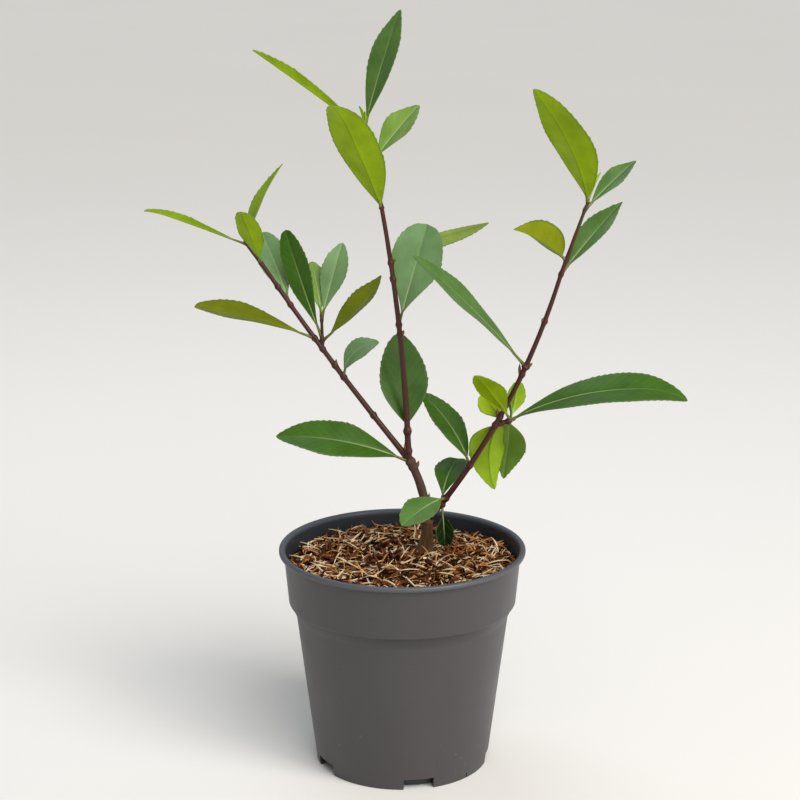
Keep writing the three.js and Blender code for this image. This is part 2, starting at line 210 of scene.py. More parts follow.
class PotSettings(PropertyGroup):
    """Sizes and colour of the nursery pot."""
    height: FloatProperty(
        name="Height", description="From the underside to the top of the rim",
        default=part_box("pot")[1].z, unit="LENGTH",
    )
    rim_radius: FloatProperty(
        name="Rim radius", description="To the outside of the rolled rim",
        default=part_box("pot")[1].x, unit="LENGTH",
    )
    rim_height: size_of("Rim height", "Height of the rolled rim", 2.8)
    collar_top_radius: size_of("Collar top radius", "Outside of the collar under the rim", 62.4)
    collar_foot_radius: size_of("Collar foot radius", "Outside of the collar above the shoulder", 60)
    collar_foot: size_of("Collar foot", "Height at which the collar starts", 89)
    shoulder_radius: size_of("Shoulder radius", "Outside of the body under the shoulder", 56.2)
    shoulder: size_of("Shoulder", "Height at which the body ends", 82.2)
    foot_radius: size_of("Foot radius", "Outside of the foot ring", 46)
    foot_ring: size_of("Foot ring", "Width of the foot ring", 2)
    wall: size_of("Wall", "Thickness of the wall", 0.9)
    floor_lift: size_of("Floor lift", "Height of the channel under the floor", 6.6)
    hub_radius: size_of("Hub radius", "Radius of the hub under the floor", 14)
    notch_width: size_of("Notch width", "Width of a notch in the foot ring", 16)
    notch_height: size_of("Notch height", "Height of a notch in the foot ring", 6)
    drain_radius: size_of("Drain radius", "Radius of a drain hole", 4)
    notches: count_of("Notches", "Number of notches, each with a drain hole behind it", 5)
    colour: colour_of("Colour", "Colour of the plastic", "#424042")
    # Painted shade: the inner colour is a darker blue grey for the shade inside the pot and under its floor.
    inner_shade_colour: colour_of("Inner colour", "Colour of the damp plastic inside", "#282d33")
    # Painted reflection: the rim colour is a bluish grey laid on the rim's top in place of the cool light it
    # mirrors.
    rim_sheen_colour: colour_of("Rim colour", "Colour of the rubbed rim", "#515862")


class MixSettings(PropertyGroup):
    """Sizes and colours of the potting mix."""
    edge: size_of("Edge", "Height of the mix at the pot's wall", 108)
    crown: size_of("Crown", "Height of the mix at the stem", 110.5)
    relief: size_of("Relief", "Depth of the fine lumps", 2.2)
    # The peat colour is near black: the dark of moist peat, and painted shade in the gaps between the loose
    # pieces.
    peat_and_gap_shade_colour: colour_of("Peat colour", "Colour of the fine moist mix", "#160700")
    dark_coir: count_of("Dark coir", "Number of dark coir fibres", 1500)
    dark_coir_colour: colour_of("Dark coir colour", "Colour of the dark fibres", "#3f1d04")
    brown_coir: count_of("Brown coir", "Number of red-brown coir fibres", 950)
    brown_coir_colour: colour_of("Brown coir colour", "Colour of the red-brown fibres", "#7f4a22")
    tan_coir: count_of("Tan coir", "Number of tan coir fibres", 800)
    tan_coir_colour: colour_of("Tan coir colour", "Colour of the tan fibres", "#cf9a60")
    straws: count_of("Straws", "Number of pale straws and rootlets", 320)
    straws_colour: colour_of("Straw colour", "Colour of the pale straws", "#ffdfb9")
    crumbs: count_of("Crumbs", "Number of dark crumbs", 900)
    crumbs_colour: colour_of("Crumb colour", "Colour of the dark crumbs", "#210b02")
    bark_chips: count_of("Bark chips", "Number of bark chips", 320)
    bark_chips_colour: colour_of("Bark chip colour", "Colour of the bark chips", "#8f5629")
    wood_chips: count_of("Wood chips", "Number of pale wood chips", 190)
    wood_chips_colour: colour_of("Wood chip colour", "Colour of the pale wood chips", "#f9d2a8")


class BarkSettings(PropertyGroup):
    """Sizes and colours of the stem, the boughs and the twigs."""
    flare: size_of("Flare", "How much wider the stem is at its foot", 4.8)
    flare_reach: size_of("Flare reach", "How far up the flare fades", 7)
    joint_swelling: size_of("Joint swelling", "How far the bark swells at a leaf joint", 0.55)
    stem_ridges: size_of("Stem ridges", "Depth of the ridges in the stem's bark", 0.28)
    bough_ridges: size_of("Bough ridges", "Depth of the ridges in the boughs' bark", 0.1)
    foot_colour: colour_of("Stem foot", "Colour of the old bark at the foot of the stem", "#735630")
    stem_colour: colour_of("Stem", "Colour of the grey-brown bark below the fork", "#4e372c")
    bough_colour: colour_of("Bough", "Colour of the red-brown bark", "#451a12")
    twig_colour: colour_of("Twig", "Colour of the young shoots", "#4a3a12")
    twig_foot: size_of("Twig foot", "How far up a young shoot the red-brown bark of its foot reaches", 36)
    bud_colour: colour_of("Bud", "Colour of the bud scales", "#6b4a26")


class LeafSettings(PropertyGroup):
    """Sizes and colours of the leaves."""
    thickness: size_of("Thickness", "Thickness of a blade", 0.42)
    tooth_pitch: size_of("Tooth pitch", "Distance from tooth to tooth along the edge", 3.4)
    tooth_depth: size_of("Tooth depth", "How far a tooth stands out", 0.5)
    vein_pitch: size_of("Vein pitch", "Distance from side vein to side vein", 5.2)
    rib: size_of("Rib", "How far the midrib stands out below", 0.5)
    petiole_thick: size_of("Petiole foot", "Diameter of a leaf stalk where it joins the shoot", 1.7)
    petiole_thin: size_of("Petiole end", "Diameter of a leaf stalk where it joins the blade", 1.1)
    mature_upper: colour_of("Mature upper", "Upper side of a full-grown leaf", "#4c7130")
    mature_under: colour_of("Mature under", "Underside of a full-grown leaf", "#758100")
    # The deep tone is partly painted shade: a darker green for old leaves low on the plant, made darker still
    # for the shade they lie in.
    deep_upper: colour_of("Deep upper", "Upper side of an old leaf low on the plant", "#385d17")
    deep_under: colour_of("Deep under", "Underside of an old leaf low on the plant", "#657100")
    # Painted shade: the dark tone is a near-black green for the low leaf that hangs in the shade.
    dark_upper: colour_of("Dark upper", "Upper side of the oldest leaf in the shade", "#0f2004")
    dark_under: colour_of("Dark under", "Underside of the oldest leaf in the shade", "#3c4a08")
    young_upper: colour_of("Young upper", "Upper side of a leaf of this season", "#6e9138")
    young_under: colour_of("Young under", "Underside of a leaf of this season", "#8ba900")
    fresh_upper: colour_of("Fresh upper", "Upper side of a leaf that has just opened", "#8fae22")
    fresh_under: colour_of("Fresh under", "Underside of a leaf that has just opened", "#8cad1e")
    # The pale tone is partly a painted sheen: a bluish green that stands in part for the sheen of reflected
    # light.
    pale_upper: colour_of("Pale upper", "Upper side of a bluish leaf", "#6b8f5c")
    pale_under: colour_of("Pale under", "Underside of a bluish leaf", "#788d3a")
    rib_upper: colour_of("Rib above", "Colour of the midrib on the upper side", "#b9c98a")
    rib_under: colour_of("Rib below", "Colour of the midrib on the underside", "#5a6c08")
    stalk: colour_of("Leaf stalk", "Colour of a leaf stalk at its blade", "#75852c")
    stalk_foot: colour_of("Leaf stalk foot", "Colour of a leaf stalk at the shoot", "#4c2a18")


class StageSettings(PropertyGroup):
    """The camera, the floor and the lamps."""
    lens: FloatProperty(name="Lens", description="Focal length", default=90, unit="CAMERA")
    camera_pitch: FloatProperty(
        name="Camera pitch", description="How far the camera looks down", default=math.radians(14.8),
        subtype="ANGLE",
    )
    camera_place: FloatVectorProperty(
        name="Camera place", description="Where the camera stands", default=(-0.0012, -1.0, 0.462),
        subtype="TRANSLATION", unit="LENGTH",
    )
    floor: colour_of("Floor", "Colour of the floor", "#efeeec")
    sky: colour_of("Surroundings", "Colour of the light from all round", "#f3f1ee")
    sky_strength: FloatProperty(
        name="Surroundings strength", description="Light from all round", default=0.32,
    )
    window_strength: FloatProperty(
        name="Window strength", description="Light from the wide window", default=2.2,
    )
    window_angle: FloatProperty(
        name="Window angle", description="How wide the window is, seen from the plant",
        default=math.radians(50), subtype="ANGLE",
    )


def add_node(tree, kind, inputs=None, **settings):
    """Adds a node with its settings. Each input is a value or the socket that it is linked to."""
    node = tree.nodes.new(kind)
    for name, value in settings.items():
        setattr(node, name, value)
    for name, value in (inputs or {}).items():
        if isinstance(value, bpy.types.NodeSocket):
            tree.links.new(value, node.inputs[name])
        else:
            node.inputs[name].default_value = value
    return node


def new_material(name):
    """An empty material and its node tree."""
    material = bpy.data.materials.new(name)
    material.use_nodes = True
    material.node_tree.nodes.clear()
    return material, material.node_tree


def shaded(colour, factor):
    """A colour made darker or lighter by a factor, as red, green, blue and alpha."""
    return (*(min(c * factor, 1) for c in colour), 1)


# Colour inputs and result of a Mix node that mixes colours
FIRST, SECOND, MIXED = 6, 7, 2
# The range that most of a noise lies in
NOISE_LOW, NOISE_HIGH = 0.3, 0.7
# How much polypropylene and living plant skins refract light
PLASTIC_IOR, PLANT_IOR = 1.49, 1.45


def moulded_polypropylene(name, colour, pot):
    """Polypropylene, injection moulded and dyed through: a dull satin skin, faintly clouded by the flow of
    the melt, with a fine spark-eroded grain and pale scuffs and specks from handling. A painted bluish
    reflection lies on the rim's top, and a painted shadow darkens the slope just under the collar. The
    grain is drawn coarser than real, to show."""
    cloud_size, scuff_size, scuff_flatness = 34 * MM, 7 * MM, 7
    grain_size, grain_depth, grain_strength = 0.9 * MM, 0.3 * MM, 0.12
    speck_pitch, speck_top, rim_sheen_depth, slope_blur = 6 * MM, 45 * MM, 2.6 * MM, MM
    most_worn, most_specks, most_rim_sheen, most_collar_shadow = 0.35, 0.8, 0.75, 0.8
    material, tree = new_material(name)
    place = add_node(tree, "ShaderNodeTexCoord").outputs["Object"]
    height = add_node(tree, "ShaderNodeSeparateXYZ", {0: place}).outputs["Z"]
    cloud = add_node(tree, "ShaderNodeTexNoise", {
        "Vector": place, "Scale": 1 / cloud_size, "Detail": 4,
    }).outputs[0]
    grain = add_node(tree, "ShaderNodeTexNoise", {"Vector": place, "Scale": 1 / grain_size, "Detail": 2})
    flat = add_node(tree, "ShaderNodeMapping", {"Vector": place, "Scale": (1, 1, scuff_flatness)})
    scuff = add_node(tree, "ShaderNodeTexNoise", {
        "Vector": flat.outputs[0], "Scale": 1 / scuff_size, "Detail": 6, "Roughness": 0.7,
    })
    worn = add_node(tree, "ShaderNodeMapRange", {
        "Value": scuff.outputs[0], "From Min": 0.6, "From Max": 0.78, "To Min": 0, "To Max": most_worn,
    })
    specks = add_node(tree, "ShaderNodeTexVoronoi", {"Vector": place, "Scale": 1 / speck_pitch})
    knocked = add_node(tree, "ShaderNodeMapRange", {
        "Value": height, "From Min": speck_top / 2, "From Max": speck_top,
        "To Min": most_specks, "To Max": 0,
    })
    gathered = add_node(tree, "ShaderNodeMapRange", {
        "Value": cloud, "From Min": 0.5, "From Max": 0.56, "To Min": 0, "To Max": knocked.outputs[0],
    })
    speck = add_node(tree, "ShaderNodeMapRange", {
        "Value": specks.outputs["Distance"], "From Min": 0.05, "From Max": 0.13,
        "To Min": gathered.outputs[0], "To Max": 0,
    })
    marks = add_node(tree, "ShaderNodeMath", {0: worn.outputs[0], 1: speck.outputs[0]}, operation="MAXIMUM")
    # Painted reflection on the rim: its top few millimetres turn towards the bluish rim colour.
    painted_rim_sheen = add_node(tree, "ShaderNodeMapRange", {
        "Value": height, "From Min": pot.height - rim_sheen_depth, "From Max": pot.height - rim_sheen_depth / 2,
        "To Min": 0, "To Max": most_rim_sheen,
    })
    # Painted shadow under the collar: it grows from the shoulder to its darkest just below the collar's edge,
    # and stops at the edge.
    above = add_node(tree, "ShaderNodeMapRange", {
        "Value": height, "From Min": pot.shoulder - slope_blur, "From Max": pot.collar_foot - slope_blur,
        "To Min": 0, "To Max": most_collar_shadow,
    })
    painted_collar_shadow = add_node(tree, "ShaderNodeMapRange", {
        "Value": height, "From Min": pot.collar_foot - slope_blur / 2, "From Max": pot.collar_foot,
        "To Min": above.outputs[0], "To Max": 0,
    })
    skin = shaded(colour, 0.86)
    for share, coat in (
        (cloud, shaded(colour, 1.14)),
        (marks.outputs[0], shaded(colour, 2.2)),
        (painted_collar_shadow.outputs[0], shaded(colour, 0.5)),
        (painted_rim_sheen.outputs[0], shaded(pot.rim_sheen_colour, 1)),
    ):
        mixed = add_node(tree, "ShaderNodeMix", {0: share, FIRST: skin, SECOND: coat}, data_type="RGBA")
        skin = mixed.outputs[MIXED]
    dull = add_node(tree, "ShaderNodeMapRange", {
        "Value": cloud, "From Min": NOISE_LOW, "From Max": NOISE_HIGH, "To Min": 0.4, "To Max": 0.52,
    })
    bump = add_node(tree, "ShaderNodeBump", {
        "Height": grain.outputs[0], "Strength": grain_strength, "Distance": grain_depth,
    })
    surface = add_node(tree, "ShaderNodeBsdfPrincipled", {
        "Base Color": skin, "Roughness": dull.outputs[0], "IOR": PLASTIC_IOR, "Normal": bump.outputs[0],
    })
    add_node(tree, "ShaderNodeOutputMaterial", {"Surface": surface.outputs[0]})
    return material


def plant_litter(name, colour, patch, roughness):
    """Shredded coir, straw, wood or bark, dry at the top of the pot, or the moist peat between them: a
    rough, matt skin whose colour changes from piece to piece, with fine streaks."""
    streak_size, streak_depth, streak_strength = 0.7 * MM, 0.3 * MM, 0.5
    material, tree = new_material(name)
    place = add_node(tree, "ShaderNodeTexCoord").outputs["Object"]
    patches = add_node(tree, "ShaderNodeTexNoise", {"Vector": place, "Scale": 1 / patch, "Detail": 3})
    streaks = add_node(tree, "ShaderNodeTexNoise", {
        "Vector": place, "Scale": 1 / streak_size, "Detail": 2,
    }).outputs[0]
    spread = add_node(tree, "ShaderNodeMapRange", {
        "Value": patches.outputs[0], "From Min": NOISE_LOW, "From Max": NOISE_HIGH, "To Min": 0, "To Max": 1,
    })
    skin = shaded(colour, 0.5)
    for share, coat in ((spread.outputs[0], shaded(colour, 1.35)), (streaks, shaded(colour, 0.7))):
        mixed = add_node(tree, "ShaderNodeMix", {0: share, FIRST: skin, SECOND: coat}, data_type="RGBA")
        skin = mixed.outputs[MIXED]
    bump = add_node(tree, "ShaderNodeBump", {
        "Height": streaks, "Strength": streak_strength, "Distance": streak_depth,
    })
    surface = add_node(tree, "ShaderNodeBsdfPrincipled", {
        "Base Color": skin, "Roughness": roughness, "Specular IOR Level": 0.15, "Normal": bump.outputs[0],
    })
    add_node(tree, "ShaderNodeOutputMaterial", {"Surface": surface.outputs[0]})
    return material


def living_bark(name, colour, streak, spots, roughness, relief, foot=None, foot_end=1.0):
    """Bark on a young living shoot: a thin corky skin, streaked along the shoot, with small pale raised
    pores. An older foot has its own colour, which fades out at foot_end. The grain attribute holds the place
    across the shoot and the run along it."""
    pore_pitch, patch_size, streak_stretch, relief_strength = 2.6 * MM, 9 * MM, 0.12, 0.6
    material, tree = new_material(name)
    grain = add_node(tree, "ShaderNodeAttribute", attribute_name="grain").outputs["Vector"]
    long = add_node(tree, "ShaderNodeMapping", {"Vector": grain, "Scale": (1, 1, streak_stretch)})
    streaks = add_node(tree, "ShaderNodeTexNoise", {
        "Vector": long.outputs[0], "Scale": 1 / streak, "Detail": 5, "Roughness": 0.65,
    })
    patches = add_node(tree, "ShaderNodeTexNoise", {"Vector": grain, "Scale": 1 / patch_size, "Detail": 3})
    pores = add_node(tree, "ShaderNodeTexVoronoi", {"Vector": grain, "Scale": 1 / pore_pitch})
    pore = add_node(tree, "ShaderNodeMapRange", {
        "Value": pores.outputs["Distance"], "From Min": 0.12, "From Max": 0.24, "To Min": spots, "To Max": 0,
    })
    spread = add_node(tree, "ShaderNodeMapRange", {
        "Value": streaks.outputs[0], "From Min": NOISE_LOW, "From Max": NOISE_HIGH, "To Min": 0, "To Max": 1,
    })
    coats = [
        (spread.outputs[0], shaded(colour, 1.35)),
        (patches.outputs[0], shaded(colour, 0.8)),
        (pore.outputs[0], shaded(colour, 2.4)),
    ]
    if foot is not None:
        run = add_node(tree, "ShaderNodeSeparateXYZ", {0: grain}).outputs["Z"]
        age = add_node(tree, "ShaderNodeMapRange", {
            "Value": run, "From Min": foot_end * 0.3, "From Max": foot_end, "To Min": 1, "To Max": 0,
        })
        aged = add_node(tree, "ShaderNodeMix", {
            0: spread.outputs[0], FIRST: shaded(foot, 0.4), SECOND: shaded(foot, 1.4),
        }, data_type="RGBA")
        coats.append((age.outputs[0], aged.outputs[MIXED]))
    skin = shaded(colour, 0.55)
    for share, coat in coats:
        mixed = add_node(tree, "ShaderNodeMix", {0: share, FIRST: skin, SECOND: coat}, data_type="RGBA")
        skin = mixed.outputs[MIXED]
    height = add_node(tree, "ShaderNodeMath", {0: streaks.outputs[0], 1: pore.outputs[0]}, operation="ADD")
    bump = add_node(tree, "ShaderNodeBump", {
        "Height": height.outputs[0], "Strength": relief_strength, "Distance": relief,
    })
    surface = add_node(tree, "ShaderNodeBsdfPrincipled", {
        "Base Color": skin, "Roughness": roughness, "IOR": PLANT_IOR, "Normal": bump.outputs[0],
    })
    add_node(tree, "ShaderNodeOutputMaterial", {"Surface": surface.outputs[0]})
    return material


def leathery_leaf(name, colour, rib_colour, rib_share, rib_end, vein_share, roughness, shine):
    """An evergreen leaf, living: a leathery skin under thin wax that dulls its shine, mottled, with a pale
    or dark midrib and faint side veins that run up towards the edge. Its blade attribute holds the distance
    from the midrib, the vein that a point lies on and the share of the blade's length."""
    mottle_size, rib_width, edge_share = 11 * MM, 0.5 * MM, 0.45
    pebble_size, pebble_depth, pebble_strength = 0.9 * MM, 0.25 * MM, 0.3
    material, tree = new_material(name)
    place = add_node(tree, "ShaderNodeTexCoord").outputs["Object"]
    blade = add_node(tree, "ShaderNodeAttribute", attribute_name="blade").outputs["Vector"]
    parts = add_node(tree, "ShaderNodeSeparateXYZ", {0: blade})
    outward = add_node(tree, "ShaderNodeAttribute", attribute_name="edge").outputs["Fac"]
    edge = add_node(tree, "ShaderNodeMapRange", {
        "Value": outward, "From Min": 0.9, "From Max": 1, "To Min": 0, "To Max": edge_share,
    })
    from_rib = add_node(tree, "ShaderNodeMath", {0: parts.outputs["X"]}, operation="ABSOLUTE")
    fading = add_node(tree, "ShaderNodeMapRange", {
        "Value": parts.outputs["Z"], "From Min": 0.15, "From Max": 0.85,
        "To Min": rib_share, "To Max": rib_end,
    })
    rib = add_node(tree, "ShaderNodeMapRange", {
        "Value": from_rib.outputs[0], "From Min": rib_width * 0.3, "From Max": rib_width,
        "To Min": fading.outputs[0], "To Max": 0,
    })
    phase = add_node(tree, "ShaderNodeMath", {0: parts.outputs["Y"], 1: 1.0}, operation="PINGPONG")
    vein = add_node(tree, "ShaderNodeMapRange", {
        "Value": phase.outputs[0], "From Min": 0.02, "From Max": 0.16, "To Min": vein_share, "To Max": 0,
    })
    mottle = add_node(tree, "ShaderNodeTexNoise", {"Vector": place, "Scale": 1 / mottle_size, "Detail": 3})
    pebble = add_node(tree, "ShaderNodeTexNoise", {"Vector": place, "Scale": 1 / pebble_size, "Detail": 2})
    spread = add_node(tree, "ShaderNodeMapRange", {
        "Value": mottle.outputs[0], "From Min": NOISE_LOW, "From Max": NOISE_HIGH, "To Min": 0, "To Max": 1,
    })
    skin = shaded(colour, 0.84)
    for share, coat in (
        (spread.outputs[0], shaded(colour, 1.16)),
        (vein.outputs[0], shaded(rib_colour, 1)),
        (rib.outputs[0], shaded(rib_colour, 1)),
        (edge.outputs[0], shaded(rib_colour, 0.35)),
    ):
        mixed = add_node(tree, "ShaderNodeMix", {0: share, FIRST: skin, SECOND: coat}, data_type="RGBA")
        skin = mixed.outputs[MIXED]
    sunk = add_node(tree, "ShaderNodeMath", {0: pebble.outputs[0], 1: vein.outputs[0]}, operation="SUBTRACT")
    bump = add_node(tree, "ShaderNodeBump", {
        "Height": sunk.outputs[0], "Strength": pebble_strength, "Distance": pebble_depth,
    })
    surface = add_node(tree, "ShaderNodeBsdfPrincipled", {
        "Base Color": skin, "Roughness": roughness, "IOR": PLANT_IOR, "Specular IOR Level": shine,
        "Normal": bump.outputs[0],
    })
    add_node(tree, "ShaderNodeOutputMaterial", {"Surface": surface.outputs[0]})
    return material


def leaf_stalk(foot, end):
    """A living leaf stalk: smooth and green at the blade, turning to the shoot's red-brown at its foot."""
    fleck_size = 1.2 * MM
    material, tree = new_material("leaf_stalk")
    place = add_node(tree, "ShaderNodeTexCoord").outputs["Object"]
    fleck = add_node(tree, "ShaderNodeTexNoise", {"Vector": place, "Scale": 1 / fleck_size, "Detail": 3})
    blade = add_node(tree, "ShaderNodeAttribute", attribute_name="blade").outputs["Vector"]
    parts = add_node(tree, "ShaderNodeSeparateXYZ", {0: blade})
    greened = add_node(tree, "ShaderNodeMapRange", {
        "Value": parts.outputs["Z"], "From Min": 0.15, "From Max": 0.75, "To Min": 0, "To Max": 1,
    })
    tint = add_node(tree, "ShaderNodeMix", {
        0: greened.outputs[0], FIRST: shaded(foot, 1), SECOND: shaded(end, 1),
    }, data_type="RGBA")
    flecked = add_node(tree, "ShaderNodeMix", {
        0: fleck.outputs[0], FIRST: tint.outputs[MIXED], SECOND: shaded(foot, 1.1),
    }, data_type="RGBA", blend_type="SOFT_LIGHT")
    surface = add_node(tree, "ShaderNodeBsdfPrincipled", {
        "Base Color": flecked.outputs[MIXED], "Roughness": 0.45, "IOR": PLANT_IOR,
    })
    add_node(tree, "ShaderNodeOutputMaterial", {"Surface": surface.outputs[0]})
    return material


def seamless_paper(colour):
    """A sweep of matt paper: even, with a barely seen cloudiness."""
    cloud_size = 0.6
    material, tree = new_material("seamless_paper")
    place = add_node(tree, "ShaderNodeTexCoord").outputs["Object"]
    cloud = add_node(tree, "ShaderNodeTexNoise", {"Vector": place, "Scale": 1 / cloud_size, "Detail": 2})
    tint = add_node(tree, "ShaderNodeMix", {
        0: cloud.outputs[0], FIRST: shaded(colour, 0.98), SECOND: shaded(colour, 1.02),
    }, data_type="RGBA")
    surface = add_node(tree, "ShaderNodeBsdfPrincipled", {
        "Base Color": tint.outputs[MIXED], "Roughness": 0.9,
    })
    add_node(tree, "ShaderNodeOutputMaterial", {"Surface": surface.outputs[0]})
    return material


def show(name, mesh, materials, sharp=SHARP_ANGLE):
    """A new object at the origin with that mesh, smooth but for its sharp edges."""
    mesh.name = name
    for material in materials:
        mesh.materials.append(material)
    mesh.shade_smooth()
    mesh.set_sharp_from_angle(angle=math.radians(sharp))
    piece = bpy.data.objects.new(name, mesh)
    bpy.context.scene.collection.objects.link(piece)
    return piece


def mesh_of(shape):
    """The mesh of a finished bmesh, which is freed."""
    mesh = bpy.data.meshes.new("mesh")
    shape.to_mesh(mesh)
    shape.free()
    return mesh


def belong(piece, slot, *nodes):
    """Makes a piece ride on the plant's one body, and stand for the solids of those nodes."""
    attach(piece, BODY)
    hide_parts(*nodes)


def join(whole, part):
    """Adds a finished bmesh to another, and frees it."""
    carrier = mesh_of(part)
    whole.from_mesh(carrier)
    bpy.data.meshes.remove(carrier)


def mix_between(low, high, share):
    """The value at a share of the way from low to high."""
    return low + (high - low) * share


def eased(value, low, high):
    """0 below low, 1 above high, and an even S between them."""
    share = min(max((value - low) / (high - low), 0), 1)
    return share * share * (3 - 2 * share)


def direction(heading, rise):
    """The unit vector of a heading and a rise in degrees."""
    across = math.radians(heading)
    level = math.cos(math.radians(rise))
    return Vector((level * math.cos(across), level * math.sin(across), math.sin(math.radians(rise))))


class Bend:
    """A curve of a given length that leaves its start along one direction and ends along another."""

    def __init__(self, start, first, last, length):
        self.start = start
        self.middle = start + first * (length / 2)
        self.end = self.middle + last * (length / 2)

    def point(self, share):
        before = self.start.lerp(self.middle, share)
        return before.lerp(self.middle.lerp(self.end, share), share)

    def along(self, share):
        return (self.middle - self.start).lerp(self.end - self.middle, share).normalized()

    def beside(self, share, x, y):
        """The point at a share of the curve, moved by x and y across it."""
        along = self.along(share)
        side = AWAY.cross(along).normalized()
        return self.point(share) + side * x + side.cross(along) * y


def limb_curve(row, start):
    """The middle line of a limb or twig."""
    first = direction(row["heading"], row["rise"])
    last = direction(row["heading"] + row["turn"], row["rise"] + row["lift"])
    return Bend(start, first, last, row["length"])


def limb_curves():
    """The middle line of each limb, by its name."""
    curves = {}
    for name, row in LIMBS.items():
        start = curves[row["on"]].point(row["at"]) if row["on"] else STEM_FOOT
        curves[name] = limb_curve(row, start)
    return curves


def stalk_of(name, curves):
    """The line that a spray's leaves sit on: its own twig, or the limb that it grows on."""
    limb, twig, _ = SPRAYS[name]
    return limb_curve(twig, curves[limb].point(twig["at"])) if twig else curves[limb]


def bake_cell(index, count):
    """Left, bottom, width and height of one of count even cells of the bake map."""
    columns = math.ceil(math.sqrt(count))
    rows = math.ceil(count / columns)
    return index % columns / columns, index // columns / rows, 1 / columns, 1 / rows


def tube(sides, rings):
    """A closed tube of radius 1 that runs from 0 to 1 along Z in even rings."""
    shape = bmesh.new()
    bmesh.ops.create_cone(shape, cap_ends=True, segments=sides, radius1=1, radius2=1, depth=1)
    bmesh.ops.translate(shape, verts=shape.verts, vec=(0, 0, 0.5))
    walls = [e for e in shape.edges if abs(e.verts[0].co.z - e.verts[1].co.z) > 0.5]
    bmesh.ops.subdivide_edges(shape, edges=walls, cuts=rings - 1, use_grid_fill=True)
    return shape


def unroll_tube(shape, cell):
    """Lays an unmoulded tube's side out flat in its cell of the bake map, with its two ends beside it."""
    margin, side_width, side_height, level = 0.02, 0.86, 0.96, 1e-6
    end_across, low_end, end_step, end_size, right_limit = 0.94, 0.25, 0.5, 0.04, 0.99
    left, low, width, height = cell
    places = shape.loops.layers.uv.new(BAKE_MAP)
    for face in shape.faces:
        heights = [v.co.z for v in face.verts]
        is_end = max(heights) - min(heights) < level
        turns = [math.atan2(v.co.y, v.co.x) / math.tau % 1 for v in face.verts]
        wraps = max(turns) - min(turns) > 0.5
        for loop, turn, up in zip(face.loops, turns, heights):
            if is_end:
                u = end_across + end_size * loop.vert.co.x
                v = low_end + end_step * up + end_size * loop.vert.co.y
            else:
                u = margin + side_width * (turn + 1 if wraps and turn < 0.5 else turn)
                v = margin + side_height * up
            loop[places].uv = (left + width * min(u, right_limit), low + height * v)


def mould(shape, place):
    """Moves every vertex to where place puts it."""
    for vertex in shape.verts:
        vertex.co = place(vertex)
    bmesh.ops.recalc_face_normals(shape, faces=shape.faces)
    return shape


# Bark: its tubes, its joints and collars, the ridges along it and the lobes of a flare
RING_SPACING = 0.8 * MM
FEWEST_RINGS = 6
LIMB_SIDES = 28
TWIG_SIDES = 16
JOINT_REACH = 1.2 * MM
LAST_JOINT = 0.98
COLLAR_REACH = 4.5 * MM
COLLAR_SHARE = 0.35
RIDGE_WIDTH = 0.9 * MM
RIDGE_LENGTH = 9 * MM
RIDGE_SHARE = 0.6
RIDGE_OCTAVES = 3
LOBE_COUNT = 3
LOBE_DEPTH = 0.6


def bark_tube(row, curve, sides, joints, swelling, cell, ridges, foot=0.0, flare=0.0, flare_reach=1.0):
    """A limb or twig as a tapering tube with ridges along it, a swelling at each joint and a flare at its
    foot. foot is the share of its length at which the tube starts, below 0 where it starts deeper."""
    length = row["length"]
    shape = tube(sides, max(FEWEST_RINGS, round(length / RING_SPACING)))
    unroll_tube(shape, cell)
    grain = shape.verts.layers.float_vector.new("grain")

    def place(vertex):
        share = mix_between(foot, 1, vertex.co.z)
        run = share * length
        radius = mix_between(row["thick"], row["thin"], max(share, 0)) / 2
        x, y = vertex.co.x, vertex.co.y
        lobes = 1 + LOBE_DEPTH * math.cos(LOBE_COUNT * math.atan2(y, x) + math.pi)
        radius += flare / 2 * lobes * math.exp(-max(run, 0) / flare_reach)
        radius += sum(swelling * math.exp(-((run - at * length) / JOINT_REACH) ** 2) for at in joints)
        vertex[grain] = (x * radius, y * radius, run)
        spot = Vector((x * radius / RIDGE_WIDTH, y * radius / RIDGE_WIDTH, run / RIDGE_LENGTH))
        radius += ridges * noise.fractal(spot, FRACTAL_FALL, FRACTAL_GAP, RIDGE_OCTAVES) * RIDGE_SHARE
        return curve.beside(share, x * radius, y * radius)

    return mould(shape, place)


def joints_on(limb):
    """Shares of a limb's length at which leaves, twigs, buds and other limbs leave it."""
    found = [row["at"] for row in LIMBS.values() if row["on"] == limb]
    for carrier, twig, leaves in SPRAYS.values():
        if carrier == limb:
            found += [twig["at"]] if twig else [row["at"] for row in leaves]
    found += [at for at, *_ in BUDS[limb]]
    return [at for at in found if at < LAST_JOINT]


# Buds: their tubes, their slot, their bend in degrees, their form and the steps of their scales
BUD_SIDES = 10
BUD_RINGS = 12
BUD_SLOT = 1
BUD_BEND = 12
BUD_FOOT = 0.18
BUD_FULLNESS = 0.8
BUD_TIP = 0.04
SCALE_ROWS = 3
SCALE_STEP = 0.16


def bud(start, heading, rise, length, width, cell):
    """A pointed bud, a little bent, with the steps of its overlapping scales."""
    shape = tube(BUD_SIDES, BUD_RINGS)
    unroll_tube(shape, cell)
    grain = shape.verts.layers.float_vector.new("grain")
    curve = Bend(start, direction(heading, rise), direction(heading, rise + BUD_BEND), length)
    for face in shape.faces:
        face.material_index = BUD_SLOT

    def place(vertex):
        share = vertex.co.z
        scales = 1 + SCALE_STEP * (1 - share * SCALE_ROWS % 1)
        swell = math.sin(math.pi * (BUD_FOOT + (1 - BUD_FOOT) * share) ** BUD_FULLNESS)
        radius = width / 2 * max(swell, BUD_TIP) * scales
        x, y = vertex.co.x * radius, vertex.co.y * radius
        vertex[grain] = (x, y, share * length)
        return curve.beside(share, x, y)

    return mould(shape, place)


